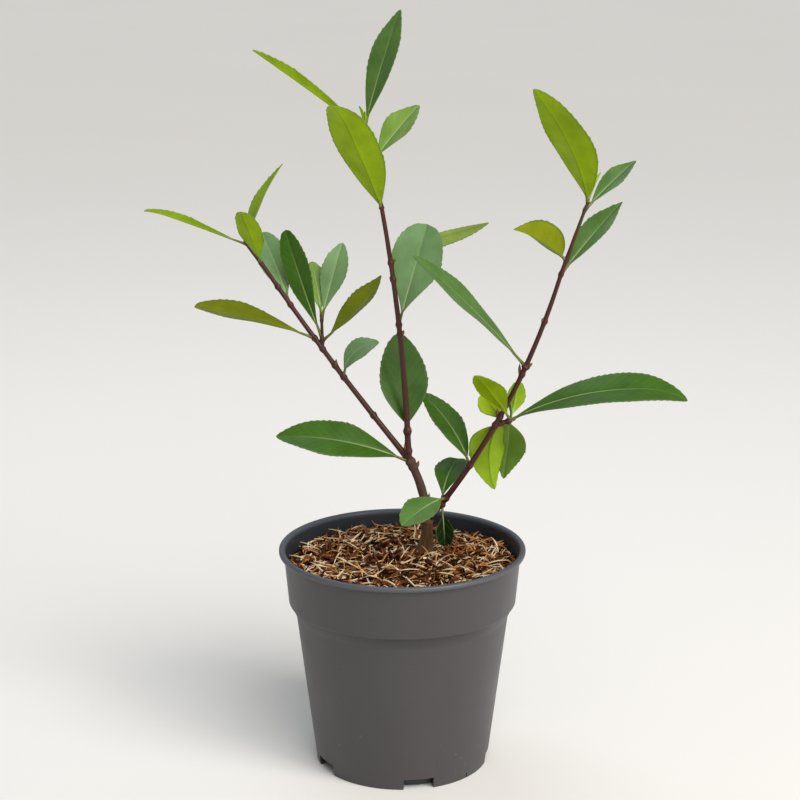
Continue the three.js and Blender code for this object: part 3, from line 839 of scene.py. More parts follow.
def leaf_axes(row):
    """A leaf's own axes: along it, to its left, and up out of its upper side."""
    along = direction(row["heading"], row["rise"])
    left = Quaternion(along, math.radians(row["roll"])) @ direction(row["heading"] + 90, 0)
    return along, left, along.cross(left)


def leaf_curve(row, root):
    """The midrib from its root on the shoot to the tip, bent evenly to both sides of its mean direction."""
    along, left, up = leaf_axes(row)

    def tilted(share):
        down = math.tan(math.radians(row["droop"] * share))
        aside = math.tan(math.radians(row["sweep"] * share))
        return (along + up * down + left * aside).normalized()

    return Bend(root, tilted(0.5), tilted(-0.5), row["petiole"] + row["length"])


# The plate of a blade, with columns crowded towards the midrib, and its outline
BLADE_COLUMNS = 14
COLUMN_CROWDING = 1.5
FOOT_FULLNESS = 1.0
TIP_HALF_WIDTH = 0.2 * MM
# The teeth of the edge, which vary in depth and fade out inwards and at the blade's foot and tip
TOOTH_STEPS = 4
TOOTH_CREST = 0.75
FEWEST_TEETH = 5
TOOTH_DEPTHS = (0.3, 1.2)
DEEPEST_TOOTH = 0.045
TEETH_START = (0.25, 0.5)
TEETH_END = (0.97, 1)
TOOTH_INWARD = 6
# The form of a blade, in shares of its length, width or half width. The twist is in degrees.
THICKEST = 0.08
EDGE_CURL = 0.07
WAVE_HEIGHT = 0.045
WAVE_COUNTS = (1.3, 2.4)
WAVE_START = 0.3
MOST_TWIST = 7
TWIST_MIDDLE = 0.3
MOST_LOPSIDED = 0.03
HOOK_START = 0.76
# The midrib and the side veins
RIB_WIDTH = 0.55 * MM
RIB_GROOVE = 0.35
RIB_TAPER = 0.85
VEIN_SLOPE = 0.95
VEIN_BOW = 0.25


def half_width(row, share):
    """Half the blade's width at a share of its length, without its teeth."""
    power = math.log(0.5) / math.log(row["belly"])
    bulge = max(math.sin(math.pi * share ** power), 0)
    fullness = row["tip"] if share > row["belly"] else FOOT_FULLNESS
    return max(TIP_HALF_WIDTH, row["width"] / 2 * bulge ** fullness)


def tooth_rise(turns):
    """A tooth's outline over one turn: a slow rise towards the leaf's tip and a quick fall."""
    phase = turns % 1
    return phase / TOOTH_CREST if phase < TOOTH_CREST else (1 - phase) / (1 - TOOTH_CREST)


def unroll_blade(shape, cell, upper, under):
    """Lays an unmoulded plate's two sides out in its cell of the bake map, and gives each its slot."""
    upper_left, under_left, half_across, low_end, half_along, edge_width = 0.03, 0.52, 0.2, 0.02, 0.46, 0.02
    left, low, width, height = cell
    places = shape.loops.layers.uv.new(BAKE_MAP)
    for face in shape.faces:
        heights = [v.co.z for v in face.verts]
        is_edge = max(heights) - min(heights) > 0.5
        is_under = not is_edge and max(heights) < -0.5
        face.material_index = under if is_under else upper
        for loop in face.loops:
            x, y, z = loop.vert.co
            u = (under_left if is_under else upper_left) + half_across * (x + 1)
            v = low_end + half_along * (y + 1)
            if is_edge and z < -0.5:
                u += edge_width if x > 0 else -edge_width
                v += edge_width * y if abs(y) > 0.999 else 0
            loop[places].uv = (left + width * u, low + height * v)


def leaf_blade(row, curve, sizes, cell, rng, slots):
    """A blade moulded from a flat plate: its outline with teeth, its fold and waves, and the rib below."""
    length, total = row["length"], row["petiole"] + row["length"]
    teeth = max(FEWEST_TEETH, round(length / sizes.tooth_pitch))
    depth = min(sizes.tooth_depth, row["width"] * DEEPEST_TOOTH)
    depths = depth * rng.uniform(*TOOTH_DEPTHS, (2, teeth + 1))
    waves, phases = rng.uniform(*WAVE_COUNTS), rng.uniform(0, math.tau, 2)
    twist = rng.uniform(-MOST_TWIST, MOST_TWIST)
    lopsided = rng.uniform(-MOST_LOPSIDED, MOST_LOPSIDED)
    thickness = min(sizes.thickness, row["width"] * THICKEST)
    fold = math.radians(row["fold"])
    left = leaf_axes(row)[1]

    shape = bmesh.new()
    bmesh.ops.create_grid(shape, x_segments=BLADE_COLUMNS, y_segments=teeth * TOOTH_STEPS, size=1)
    bmesh.ops.solidify(shape, geom=shape.faces[:], thickness=1)
    unroll_blade(shape, cell, *slots)
    blade = shape.verts.layers.float_vector.new("blade")
    edge = shape.verts.layers.float.new("edge")

    def place(vertex):
        x, y, z = vertex.co
        share = (y + 1) / 2
        hand = 0 if x > 0 else 1
        out = abs(x) ** COLUMN_CROWDING
        run = (row["petiole"] + share * length) / total
        along = curve.along(run)
        up = along.cross(left).normalized()
        up = Quaternion(along, math.radians(row["turn"] + twist * (share - TWIST_MIDDLE))) @ up
        side = up.cross(along)
        half = half_width(row, share) * (1 + lopsided * (1 if hand else -1))
        toothed = eased(share, *TEETH_START) * (1 - eased(share, *TEETH_END))
        tooth = depths[hand][int(share * teeth)] * tooth_rise(share * teeth) * toothed * out ** TOOTH_INWARD
        across = out * half + tooth
        lift = across * math.sin(fold) - EDGE_CURL * half * out * out
        swing = eased(share, 0, WAVE_START) * math.sin(math.tau * waves * share + phases[hand])
        lift += WAVE_HEIGHT * half * out * out * swing
        lift -= row["hook"] * (max(share - HOOK_START, 0) / (1 - HOOK_START)) ** 2
        signed = across if x > 0 else -across
        near_rib = math.exp(-(across / RIB_WIDTH) ** 2)
        if z > -0.5:
            lift += thickness / 2 - RIB_GROOVE * thickness * near_rib
        else:
            lift -= thickness / 2 + sizes.rib * (1 - RIB_TAPER * share) * near_rib
        vein_foot = share * length - VEIN_SLOPE * across * (1 + VEIN_BOW * out)
        vertex[blade] = (signed, 2 * (vein_foot / sizes.vein_pitch + 0.5 * hand), share)
        vertex[edge] = out
        return curve.point(run) + side * (signed * math.cos(fold)) + up * lift

    return mould(shape, place)


# Leaf stalks: their tubes, their overlap with the blade, their thick foot and narrowing end, their drop
# below the blade, the blade's width from which they have their full size, and their strip of the leaf's cell
PETIOLE_SIDES = 10
PETIOLE_RINGS = 10
PETIOLE_OVERLAP = 0.1
PETIOLE_FOOT = 1.3
FOOT_REACH = 0.4
PETIOLE_END = 0.6
END_REACH = 0.7
PETIOLE_DROP = 0.2 * MM
FULL_SIZE_WIDTH = 10 * MM
STRIP_LEFT = 0.95
STRIP_WIDTH = 0.05


def leaf_petiole(row, curve, sizes, cell):
    """A leaf's stalk, from the middle of the shoot into the base of the blade."""
    cell_left, low, width, height = cell
    left = leaf_axes(row)[1]
    total = row["petiole"] + row["length"]
    reach = row["petiole"] / total + PETIOLE_OVERLAP
    scale = min(1, row["width"] / FULL_SIZE_WIDTH)
    shape = tube(PETIOLE_SIDES, PETIOLE_RINGS)
    unroll_tube(shape, (cell_left + width * STRIP_LEFT, low, width * STRIP_WIDTH, height))
    blade = shape.verts.layers.float_vector.new("blade")

    def place(vertex):
        share = vertex.co.z
        along = curve.along(share * reach)
        up = along.cross(left).normalized()
        radius = mix_between(sizes.petiole_thick, sizes.petiole_thin, share) / 2 * scale
        widened_foot = mix_between(PETIOLE_FOOT, 1, eased(share, 0, FOOT_REACH))
        radius *= widened_foot * (1 - PETIOLE_END * eased(share, END_REACH, 1))
        vertex[blade] = (0, 0, share * reach * total / row["petiole"])
        middle = curve.point(share * reach) - up * (PETIOLE_DROP * share)
        return middle + up * (vertex.co.x * radius) + up.cross(along) * (vertex.co.y * radius)

    return mould(shape, place)


def spin_profile(points, steps):
    """A closed round body from (radius, height, rounding) points that start and end on the axis."""
    shape = bmesh.new()
    corners = [shape.verts.new((radius, 0, height)) for radius, height, _ in points]
    for here, there in zip(corners, corners[1:]):
        shape.edges.new((here, there))
    for rounding in sorted({point[2] for point in points if point[2]}):
        rounded = [corner for corner, point in zip(corners, points) if point[2] == rounding]
        bmesh.ops.bevel(
            shape, geom=rounded, offset=rounding, affect="VERTICES", segments=4, profile=0.5, material=-1,
        )
    bmesh.ops.spin(
        shape, geom=shape.verts[:] + shape.edges[:], cent=(0, 0, 0), axis=(0, 0, 1), dvec=(0, 0, 0),
        angle=math.tau, steps=steps, use_merge=True, use_duplicate=False,
    )
    bmesh.ops.remove_doubles(shape, verts=shape.verts, dist=0.001 * MM)
    bmesh.ops.recalc_face_normals(shape, faces=shape.faces)
    return shape


# The pot beyond its settings: its roundings, the ledge under its collar, and its foot. Turns are in degrees.
POT_STEPS = 144
CRISP = 0.25 * MM
SOFT = 0.6 * MM
ROUND = 1.1 * MM
LEDGE = 0.9 * MM
HUB_SLOPE = 1.5
NOTCH_TURN = 10.8
NOTCH_DEPTH = 8.4 * MM
SLIT_TURN = 47
SLIT_WIDTH = 0.9 * MM
SLIT_HEIGHT = 3 * MM
RING_INSIDE = 40.3 * MM
RING_OUTSIDE = 41.5 * MM
RING_CLEAR = 0.8 * MM
DRAIN_FROM_AXIS = 36 * MM
DRAIN_SIDES = 32
WALL_GAP = 0.3 * MM


def inner_wall(pot):
    """The pot's inner wall from the floor up, as (radius, height)."""
    floor = pot.floor_lift + pot.wall
    taper = (pot.shoulder_radius - pot.foot_radius) / pot.shoulder
    return [
        (pot.foot_radius + taper * floor - pot.wall, floor),
        (pot.shoulder_radius - pot.wall, pot.shoulder + pot.wall / 2),
        (pot.collar_foot_radius - pot.wall, pot.collar_foot + pot.wall / 2),
        (pot.collar_top_radius - pot.wall, pot.height - pot.rim_height),
    ]


def pot_profile(pot):
    """The cut half of the pot, from the middle of its underside round the outside and back in."""
    rim_foot = pot.height - pot.rim_height
    inside = [(radius, height, ROUND) for radius, height in reversed(inner_wall(pot))]
    return [
        (0, 0, 0),
        (pot.hub_radius, 0, SOFT),
        (pot.hub_radius + pot.wall, pot.floor_lift, SOFT),
        (RING_INSIDE, pot.floor_lift, 0),
        (RING_INSIDE, RING_CLEAR, CRISP),
        (RING_OUTSIDE, RING_CLEAR, CRISP),
        (RING_OUTSIDE, pot.floor_lift, 0),
        (pot.foot_radius - pot.foot_ring - pot.wall, pot.floor_lift, SOFT),
        (pot.foot_radius - pot.foot_ring, 0, CRISP),
        (pot.foot_radius, 0, SOFT),
        (pot.shoulder_radius, pot.shoulder, ROUND),
        (pot.collar_foot_radius - LEDGE, pot.collar_foot - LEDGE / 2, CRISP),
        (pot.collar_foot_radius, pot.collar_foot, SOFT),
        (pot.collar_top_radius, rim_foot, SOFT),
        (pot.rim_radius, rim_foot, ROUND),
        (pot.rim_radius, pot.height, ROUND),
        (pot.collar_top_radius - pot.wall + SOFT, pot.height, ROUND),
        *inside,
        (pot.hub_radius - pot.wall / 2, pot.floor_lift + pot.wall, SOFT),
        (pot.hub_radius - pot.wall * HUB_SLOPE, pot.wall, SOFT),
        (0, pot.wall, 0),
    ]


def foot_cutter(pot):
    """What is cut out of the foot: the notches with a drain hole behind each, and one narrow slit."""
    shape = bmesh.new()

    def cut_ring(turn, width, height):
        at_ring = turn @ Matrix.Translation((0, -pot.foot_radius, 0))
        size = Matrix.Diagonal((width, NOTCH_DEPTH, height * 2, 1))
        bmesh.ops.create_cube(shape, size=1, matrix=at_ring @ size)

    cut_ring(Matrix.Rotation(math.radians(SLIT_TURN), 4, "Z"), SLIT_WIDTH, SLIT_HEIGHT)
    for i in range(pot.notches):
        turn = Matrix.Rotation(math.radians(NOTCH_TURN) + math.tau * i / pot.notches, 4, "Z")
        cut_ring(turn, pot.notch_width, pot.notch_height)
        bmesh.ops.create_cone(
            shape, cap_ends=True, segments=DRAIN_SIDES, radius1=pot.drain_radius, radius2=pot.drain_radius,
            depth=pot.floor_lift * 2,
            matrix=turn @ Matrix.Translation((0, -DRAIN_FROM_AXIS, pot.floor_lift)),
        )
    return shape


def cut_out(body, cutter):
    """Cuts one object out of another, and removes the cutter."""
    cut = body.modifiers.new("cut", "BOOLEAN")
    cut.operation = "DIFFERENCE"
    cut.solver = "EXACT"
    cut.object = cutter
    seen = body.evaluated_get(bpy.context.evaluated_depsgraph_get())
    whole = body.data
    body.data = bpy.data.meshes.new_from_object(seen)
    body.data.name = whole.name
    body.modifiers.clear()
    bpy.data.objects.remove(cutter)
    bpy.data.meshes.remove(whole)


class SHRUB_OT_make_pot(Operator):
    """Make the nursery pot with its rolled rim, collar, foot ring, notches and drain holes."""
    bl_idname = "shrub.make_pot"
    bl_label = "Nursery pot"

    def execute(self, context):
        pot = context.scene.shrub_pot
        plastic = moulded_polypropylene("moulded_polypropylene", pot.colour, pot)
        # The darker plastic is painted shade. It goes to the faces inside the pot and under its floor.
        painted_inner_shade = moulded_polypropylene("damp_polypropylene", pot.inner_shade_colour, pot)
        shape = spin_profile(pot_profile(pot), POT_STEPS)
        floor = pot.floor_lift + pot.wall / 2
        for face in shape.faces:
            middle = face.calc_center_median()
            is_inside = face.normal.dot(middle.xy.to_3d()) < 0 and middle.z > floor
            is_under = middle.z < floor and middle.xy.length < RING_OUTSIDE + CRISP
            face.material_index = 1 if is_inside or is_under else 0
        body = show("nursery_pot", mesh_of(shape), [plastic, painted_inner_shade])
        cut_out(body, show("foot_cutter", mesh_of(foot_cutter(pot)), []))
        body.data.set_sharp_from_angle(angle=math.radians(SHARP_ANGLE))
        belong(body, "pot_plastic", "pot")
        return {"FINISHED"}


# The mix's mound: waves over it, as height and lengths along X and Y, the level round the stem, the body's
# rings and steps, its lumps, the finer waves that break it up, and its dip at the wall
LUMPS = ((0.7 * MM, 21 * MM, 34 * MM), (0.6 * MM, -29 * MM, 23 * MM), (0.4 * MM, 10 * MM, -11 * MM))
LEVEL_REACH = 9 * MM
MIX_RINGS = 64
MIX_STEPS = 150
LUMP_SIZE = 3.4 * MM
LUMP_MIDDLE = 0.6
LUMP_OCTAVES = 4
CRUMB_WAVES = 14
CRUMB_SIZES = (5 * MM, 14 * MM)
CRUMB_HEIGHT = 0.36 * MM
WALL_DIP = 2 * MM
DIP_REACH = 6 * MM


def crumb_waves():
    """Seeded waves that break the mix's surface up, each as its wave numbers along X and Y and its phase."""
    rng = np.random.default_rng(SEED)
    turn = rng.uniform(0, math.tau, CRUMB_WAVES)
    number = math.tau / rng.uniform(*CRUMB_SIZES, CRUMB_WAVES)
    return zip(number * np.cos(turn), number * np.sin(turn), rng.uniform(0, math.tau, CRUMB_WAVES))


def mix_height(x, y, pot, mix):
    """Height of the mix's mound at arrays of places."""
    across = np.hypot(x, y)
    mound = mix.edge + (mix.crown - mix.edge) * (1 - (across / pot.collar_top_radius) ** 2)
    lumps = sum(high * np.sin(math.tau * (x / along_x + y / along_y)) for high, along_x, along_y in LUMPS)
    crumbs = sum(np.sin(along_x * x + along_y * y + phase) for along_x, along_y, phase in crumb_waves())
    dip = WALL_DIP * np.clip((across - mix_radius(pot, mix)) / DIP_REACH + 1, 0, 1) ** 2
    lumps = lumps + CRUMB_HEIGHT * crumbs - dip
    from_stem = np.hypot(x - STEM_FOOT.x, y - STEM_FOOT.y)
    loose = np.clip((from_stem - LEVEL_REACH) / LEVEL_REACH, 0, 1)
    loose = loose * loose * (3 - 2 * loose)
    return mix.crown + (mound + lumps - mix.crown) * loose


def mix_radius(pot, mix):
    """Radius of the mix where it meets the wall."""
    low, high = inner_wall(pot)[-2:]
    return mix_between(low[0], high[0], (mix.edge - low[1]) / (high[1] - low[1])) - WALL_GAP


def mix_body(pot, mix):
    """The fine moist mix: a body that fills the pot, with a crumbled top."""
    edge = mix_radius(pot, mix)
    hub = pot.hub_radius - pot.wall * HUB_SLOPE - WALL_GAP
    hub_top = pot.wall + WALL_GAP
    floor = pot.floor_lift + hub_top
    corner, *wall = inner_wall(pot)[:-1]
    profile = [(0, hub_top, 0), (hub, hub_top, 0), (hub + pot.wall, floor, 0)]
    profile += [(corner[0] - WALL_GAP, floor, 0)]
    profile += [(radius - WALL_GAP, height, 0) for radius, height in wall]
    profile += [(edge * (1 - i / MIX_RINGS), mix.edge, 0) for i in range(MIX_RINGS + 1)]
    shape = spin_profile(profile, MIX_STEPS)
    top = [v for v in shape.verts if v.co.z > mix.edge - WALL_GAP and v.co.xy.length < edge - WALL_GAP]
    heights = mix_height(np.array([v.co.x for v in top]), np.array([v.co.y for v in top]), pot, mix)
    for vertex, height in zip(top, heights):
        spot = vertex.co.xy.to_3d() / LUMP_SIZE
        lumps = noise.fractal(spot, FRACTAL_FALL, FRACTAL_GAP, LUMP_OCTAVES)
        vertex.co.z = height + mix.relief * (lumps - LUMP_MIDDLE)
    bmesh.ops.recalc_face_normals(shape, faces=shape.faces)
    return shape


# Loose pieces: how far they keep from the stem and the wall, and the rings and sides of their meshes
STEM_CLEAR = 4.2 * MM
WALL_CLEAR = 0.4 * MM
STRAND_RINGS = 5
CHIP_SIDES = 7
# Loose fibres: the power that keeps most of them low, and their lift on a slant, sag and taper
LOW_LYING = 1.5
SLANT_LIFT = 2.4
SAG = 0.06
END_TAPER = 0.65
# Broken pieces: how ragged and slim they are, how deep they lie in millimetres, and their layers as height
# and width
RAGGED = (0.6, 1.12)
SLIM = (0.35, 0.75)
LAYER_RAGGED = (0.93, 1.07)
DEEPEST = -0.3
LAYERS = ((-1, 0.75), (-0.4, 1), (0.5, 0.97), (1, 0.8))

# Kinds of loose fibres: lengths and widths in millimetres, flatness, how high they lie, slant and curl
FIBRES = {
    "dark_coir": ((3, 8), (0.6, 1.7), 0.5, 0.9, 0.34, 0.12),
    "brown_coir": ((3, 9), (0.5, 1.3), 0.5, 1.5, 0.34, 0.12),
    "tan_coir": ((3, 10), (0.35, 0.8), 0.6, 1.9, 0.36, 0.15),
    "straws": ((5, 14), (0.4, 0.85), 0.6, 2.6, 0.26, 0.06),
}
# Kinds of broken pieces: widths in millimetres, thickness as a share of that, how high they lie, and slant
BROKEN = {
    "crumbs": ((1.2, 3.2), 0.3, 0.8, 0.6),
    "bark_chips": ((2.5, 7), 0.12, 1.2, 0.5),
    "wood_chips": ((1.8, 5), 0.13, 1.7, 0.5),
}


def scatter(rng, count, pot, mix, edge_gap):
    """Places for loose pieces, spread evenly over the mix and clear of the stem, as arrays of x and y."""
    reach = mix_radius(pot, mix) - edge_gap
    across = reach * np.sqrt(rng.uniform(0, 1, count))
    turn = rng.uniform(0, math.tau, count)
    x, y = across * np.cos(turn), across * np.sin(turn)
    away = np.hypot(x - STEM_FOOT.x, y - STEM_FOOT.y)
    push = np.maximum(STEM_CLEAR / np.maximum(away, MM), 1)
    return STEM_FOOT.x + (x - STEM_FOOT.x) * push, STEM_FOOT.y + (y - STEM_FOOT.y) * push


def loose_axes(rng, count, steep):
    """Axes of loose pieces: along each, to its side and up, with a random heading and a small slant."""
    heading = rng.uniform(0, math.tau, count)
    slant = rng.normal(0, steep, count)
    level = np.cos(slant)
    along = np.stack([level * np.cos(heading), level * np.sin(heading), np.sin(slant)], 1)
    side = np.stack([-np.sin(heading), np.cos(heading), np.zeros(count)], 1)
    return along, side, np.cross(along, side)


def steps_on(axes, steps):
    """Each piece's axis times each of the steps in its row."""
    return axes[:, None] * steps[..., None]


def kept_in(corners, pot, mix):
    """Moves each loose piece towards the axis until all of its corners are clear of the wall."""
    limit = mix_radius(pot, mix) - WALL_CLEAR
    across = np.hypot(corners[..., 0], corners[..., 1])
    furthest = across.reshape(len(corners), -1).max(1)
    middle = corners.reshape(len(corners), -1, 3).mean(1)
    inward = -middle[:, :2] / np.maximum(np.hypot(middle[:, 0], middle[:, 1]), MM)[:, None]
    corners[..., :2] += (inward * np.maximum(furthest - limit, 0)[:, None])[:, None, None]
    return corners


def strands(rng, kind, pot, mix):
    """Corners of many bent, tapering fibres on the mix, as an array of fibre, ring, corner and axis."""
    lengths, widths, flatness, high, steep, curl = FIBRES[kind]
    count = getattr(mix, kind)
    x, y = scatter(rng, count, pot, mix, edge_gap=MM)
    along, side, up = loose_axes(rng, count, steep)
    length = rng.uniform(*lengths, count) * MM
    width = (rng.uniform(*widths, count) / 2 * MM)[:, None]
    height = mix_height(x, y, pot, mix) + high * MM * rng.uniform(0, 1, count) ** LOW_LYING
    middle = np.stack([x, y, height + np.abs(along[:, 2]) * length / SLANT_LIFT], 1)
    length = length[:, None]
    shares = np.linspace(-1, 1, STRAND_RINGS)
    bend = rng.normal(0, curl, count)[:, None] * length * (shares ** 2 - 0.5)
    sag = -SAG * length * shares ** 2
    line = middle[:, None] + steps_on(along, length / 2 * shares) + steps_on(side, bend) + steps_on(up, sag)
    taper = 1 - END_TAPER * np.abs(shares) ** 3
    across = steps_on(side, width * taper)
    thick = steps_on(up, width * taper * flatness)
    corners = [line + i * across + j * thick for i, j in ((1, 1), (-1, 1), (-1, -1), (1, -1))]
    return kept_in(np.stack(corners, 2), pot, mix)


def chips(rng, kind, pot, mix):
    """Corners of many broken pieces of bark or wood, as an array of piece, layer, corner and axis."""
    widths, thickness, high, steep = BROKEN[kind]
    count = getattr(mix, kind)
    x, y = scatter(rng, count, pot, mix, edge_gap=2 * MM)
    along, side, up = loose_axes(rng, count, steep)
    width = rng.uniform(*widths, count) * MM
    middle = np.stack([x, y, mix_height(x, y, pot, mix) + rng.uniform(DEEPEST, high, count) * MM], 1)
    turn = np.linspace(0, math.tau, CHIP_SIDES, endpoint=False)
    ragged = rng.uniform(*RAGGED, (count, CHIP_SIDES)) * width[:, None] / 2
    slim = rng.uniform(*SLIM, count)[:, None]
    layers = []
    for level, share in LAYERS:
        reach = ragged * share * rng.uniform(*LAYER_RAGGED, (count, CHIP_SIDES))
        flat = steps_on(along, reach * np.cos(turn)) + steps_on(side, reach * slim * np.sin(turn))
        rise = up * (level * width * thickness)[:, None]
        layers.append(middle[:, None] + flat + rise[:, None])
    return kept_in(np.stack(layers, 1), pot, mix)


def loose_mesh(corners):
    """One joined mesh of loose pieces from their corners, each with its own cell of the bake map."""
    wall_left, wall_width, wall_low, wall_height = 0.04, 0.72, 0.05, 0.9
    end_across, end_width, end_height, first_end, second_end = 0.87, 0.08, 0.2, 0.25, 0.75
    count, rings, sides, _ = corners.shape
    ring, corner = np.meshgrid(np.arange(rings - 1), np.arange(sides), indexing="ij")
    here, after = ring * sides, (corner + 1) % sides
    walls = np.stack([here + corner, here + after, here + sides + after, here + sides + corner], -1)
    ends = [list(range(sides))[::-1], list(range((rings - 1) * sides, rings * sides))]
    faces = walls.reshape(-1, 4).tolist() + ends
    starts = range(0, count * rings * sides, rings * sides)
    mesh = bpy.data.meshes.new("mesh")
    all_faces = [[start + k for k in face] for start in starts for face in faces]
    mesh.from_pydata(corners.reshape(-1, 3).tolist(), [], all_faces)
    wall_u = np.stack([ring, ring, ring + 1, ring + 1], -1) / (rings - 1) * wall_width + wall_left
    wall_v = np.stack([corner, corner + 1, corner + 1, corner], -1) / sides * wall_height + wall_low
    turn = math.tau * np.arange(sides) / sides
    end_u = [end_across + end_width * np.cos(turn)] * 2
    end_v = [first_end + end_height * np.sin(-turn), second_end + end_height * np.sin(turn)]
    flat = np.stack([np.concatenate([wall_u.ravel(), *end_u]), np.concatenate([wall_v.ravel(), *end_v])], 1)
    cells = np.array([bake_cell(i, count) for i in range(count)])
    places = cells[:, None, :2] + flat[None] * cells[:, None, 2:]
    mesh.uv_layers.new(name=BAKE_MAP).uv.foreach_set("vector", places.astype(np.float32).ravel())
    shape = bmesh.new()
    shape.from_mesh(mesh)
    bmesh.ops.recalc_face_normals(shape, faces=shape.faces)
    shape.to_mesh(mesh)
    shape.free()
    return mesh


class SHRUB_OT_make_mix(Operator):
    """Make the potting mix: its fine body, and the coir fibres, straws and bark chips that lie on it."""
    bl_idname = "shrub.make_mix"
    bl_label = "Potting mix"

    def execute(self, context):
        pot, mix = context.scene.shrub_pot, context.scene.shrub_mix
        rng = np.random.default_rng(SEED)
        # Near-black peat: partly painted shade in the gaps between the loose pieces.
        peat = plant_litter("moist_peat", mix.peat_and_gap_shade_colour, patch=4 * MM, roughness=0.95)
        body = show("mix_body", mesh_of(mix_body(pot, mix)), [peat], sharp=60)
        belong(body, "bark_mix", "potting_mix")
        loose = {kind: strands(rng, kind, pot, mix) for kind in FIBRES}
        loose.update({kind: chips(rng, kind, pot, mix) for kind in BROKEN})
        for kind, corners in loose.items():
            colour = getattr(mix, kind + "_colour")
            skin = plant_litter("dry_" + kind, colour, patch=2.5 * MM, roughness=0.65)
            piece = show("mix_" + kind, loose_mesh(corners), [skin])
            belong(piece, "bark_mix", "potting_mix")
        return {"FINISHED"}


# Limbs: the stem's start below its foot and a bud's place on a limb, as shares, and cells of the bake map
STEM_SUNK = -0.07
BUD_OUT = 0.4
LIMB_CELL = (0, 0, 0.8, 1)
BUDS_LEFT = 0.82
BUDS_WIDTH = 0.18


def bud_scales(name, bark):
    """The thin brown scales of a bud."""
    return living_bark(name, bark.bud_colour, streak=0.6 * MM, spots=0, roughness=0.6, relief=0.15 * MM)


class SHRUB_OT_make_limbs(Operator):
    """Make the main stem and the boughs with the relief of their bark, and the buds on them."""
    bl_idname = "shrub.make_limbs"
    bl_label = "Stem and boughs"

    def execute(self, context):
        bark = context.scene.shrub_bark
        curves = limb_curves()
        stem_bark = living_bark(
            "stem_cork_bark", bark.stem_colour, streak=1.1 * MM, spots=0.25, roughness=0.75, relief=0.4 * MM,
            foot=bark.foot_colour, foot_end=36 * MM,
        )
        bough_bark = living_bark(
            "bough_smooth_bark", bark.bough_colour, streak=0.8 * MM, spots=0.3, roughness=0.5,
            relief=0.15 * MM,
        )
        scales = bud_scales("bud_scales", bark)
        for name, row in LIMBS.items():
            is_stem = row["on"] is None
            shape = bark_tube(
                row, curves[name], LIMB_SIDES, joints_on(name), bark.joint_swelling, LIMB_CELL,
                ridges=bark.stem_ridges if is_stem else bark.bough_ridges,
                foot=STEM_SUNK if is_stem else 0,
                flare=bark.flare if is_stem else row["thick"] * COLLAR_SHARE,
                flare_reach=bark.flare_reach if is_stem else COLLAR_REACH,
            )
            for i, (at, heading, rise, length, width) in enumerate(BUDS[name]):
                left, low, across, high = bake_cell(i, len(BUDS[name]))
                cell = (BUDS_LEFT + BUDS_WIDTH * left, low, BUDS_WIDTH * across, high)
                out = direction(heading, 0) * mix_between(row["thick"], row["thin"], at) * BUD_OUT
                join(shape, bud(curves[name].point(at) + out, heading, rise, length * MM, width * MM, cell))
            materials = [stem_bark if is_stem else bough_bark, scales]
            piece = show(name + "_bark", mesh_of(shape), materials)
            belong(piece, "stem_bark" if is_stem else "bough_bark", name)
        return {"FINISHED"}


# Twigs and their end buds, in shares of the twig's length and thickness, and cells of the bake map
TWIG_SWELLING = 0.7
TWIG_LAST_JOINT = 0.95
END_BUD_AT = 0.98
END_BUD_LENGTH = 3.2 * MM
END_BUD_WIDTH = 1.1
TWIG_CELL = (0, 0, 0.7, 1)
END_BUD_CELL = (0.72, 0, 0.28, 1)


class SHRUB_OT_make_twigs(Operator):
    """Make the twigs of the sprays, grown on from the boughs, each with its end bud."""
    bl_idname = "shrub.make_twigs"
    bl_label = "Twigs"

    def execute(self, context):
        bark = context.scene.shrub_bark
        curves = limb_curves()
        skin = living_bark(
            "twig_green_bark", bark.twig_colour, streak=0.7 * MM, spots=0.2, roughness=0.5, relief=0.1 * MM,
            foot=bark.bough_colour, foot_end=bark.twig_foot,
        )
        scales = bud_scales("end_bud_scales", bark)
        swelling = bark.joint_swelling * TWIG_SWELLING
        for name, (_, row, leaves) in SPRAYS.items():
            if row is None:
                continue
            curve = stalk_of(name, curves)
            joints = [part["at"] for part in leaves if part["at"] < TWIG_LAST_JOINT]
            shape = bark_tube(row, curve, TWIG_SIDES, joints, swelling, TWIG_CELL, bark.bough_ridges)
            join(shape, bud(
                curve.point(END_BUD_AT), row["heading"], row["rise"], END_BUD_LENGTH,
                row["thin"] * END_BUD_WIDTH, END_BUD_CELL,
            ))
            piece = show(name + "_twig", mesh_of(shape), [skin, scales])
            belong(piece, "leaf", name)
        return {"FINISHED"}


# How much the wax on the upper side of each tone of leaf shines, and on every underside
SHINE = {"mature": 0.35, "deep": 0.2, "dark": 0.08, "young": 0.4, "fresh": 0.4, "pale": 0.4}
UNDER_SHINE = 0.2


def leaf_materials(leaves):
    """The stalk that all leaves share, and the upper side and underside of each tone, by name."""
    made = {"stalk": leaf_stalk(leaves.stalk_foot, leaves.stalk)}
    for tone, shine in SHINE.items():
        made[tone + "_upper"] = leathery_leaf(
            tone + "_leaf_upper", getattr(leaves, tone + "_upper"), leaves.rib_upper,
            rib_share=0.6, rib_end=0.05, vein_share=0.04, roughness=0.38, shine=shine,
        )
        made[tone + "_under"] = leathery_leaf(
            tone + "_leaf_under", getattr(leaves, tone + "_under"), leaves.rib_under,
            rib_share=0.75, rib_end=0.4, vein_share=0.1, roughness=0.55, shine=UNDER_SHINE,
        )
    return made


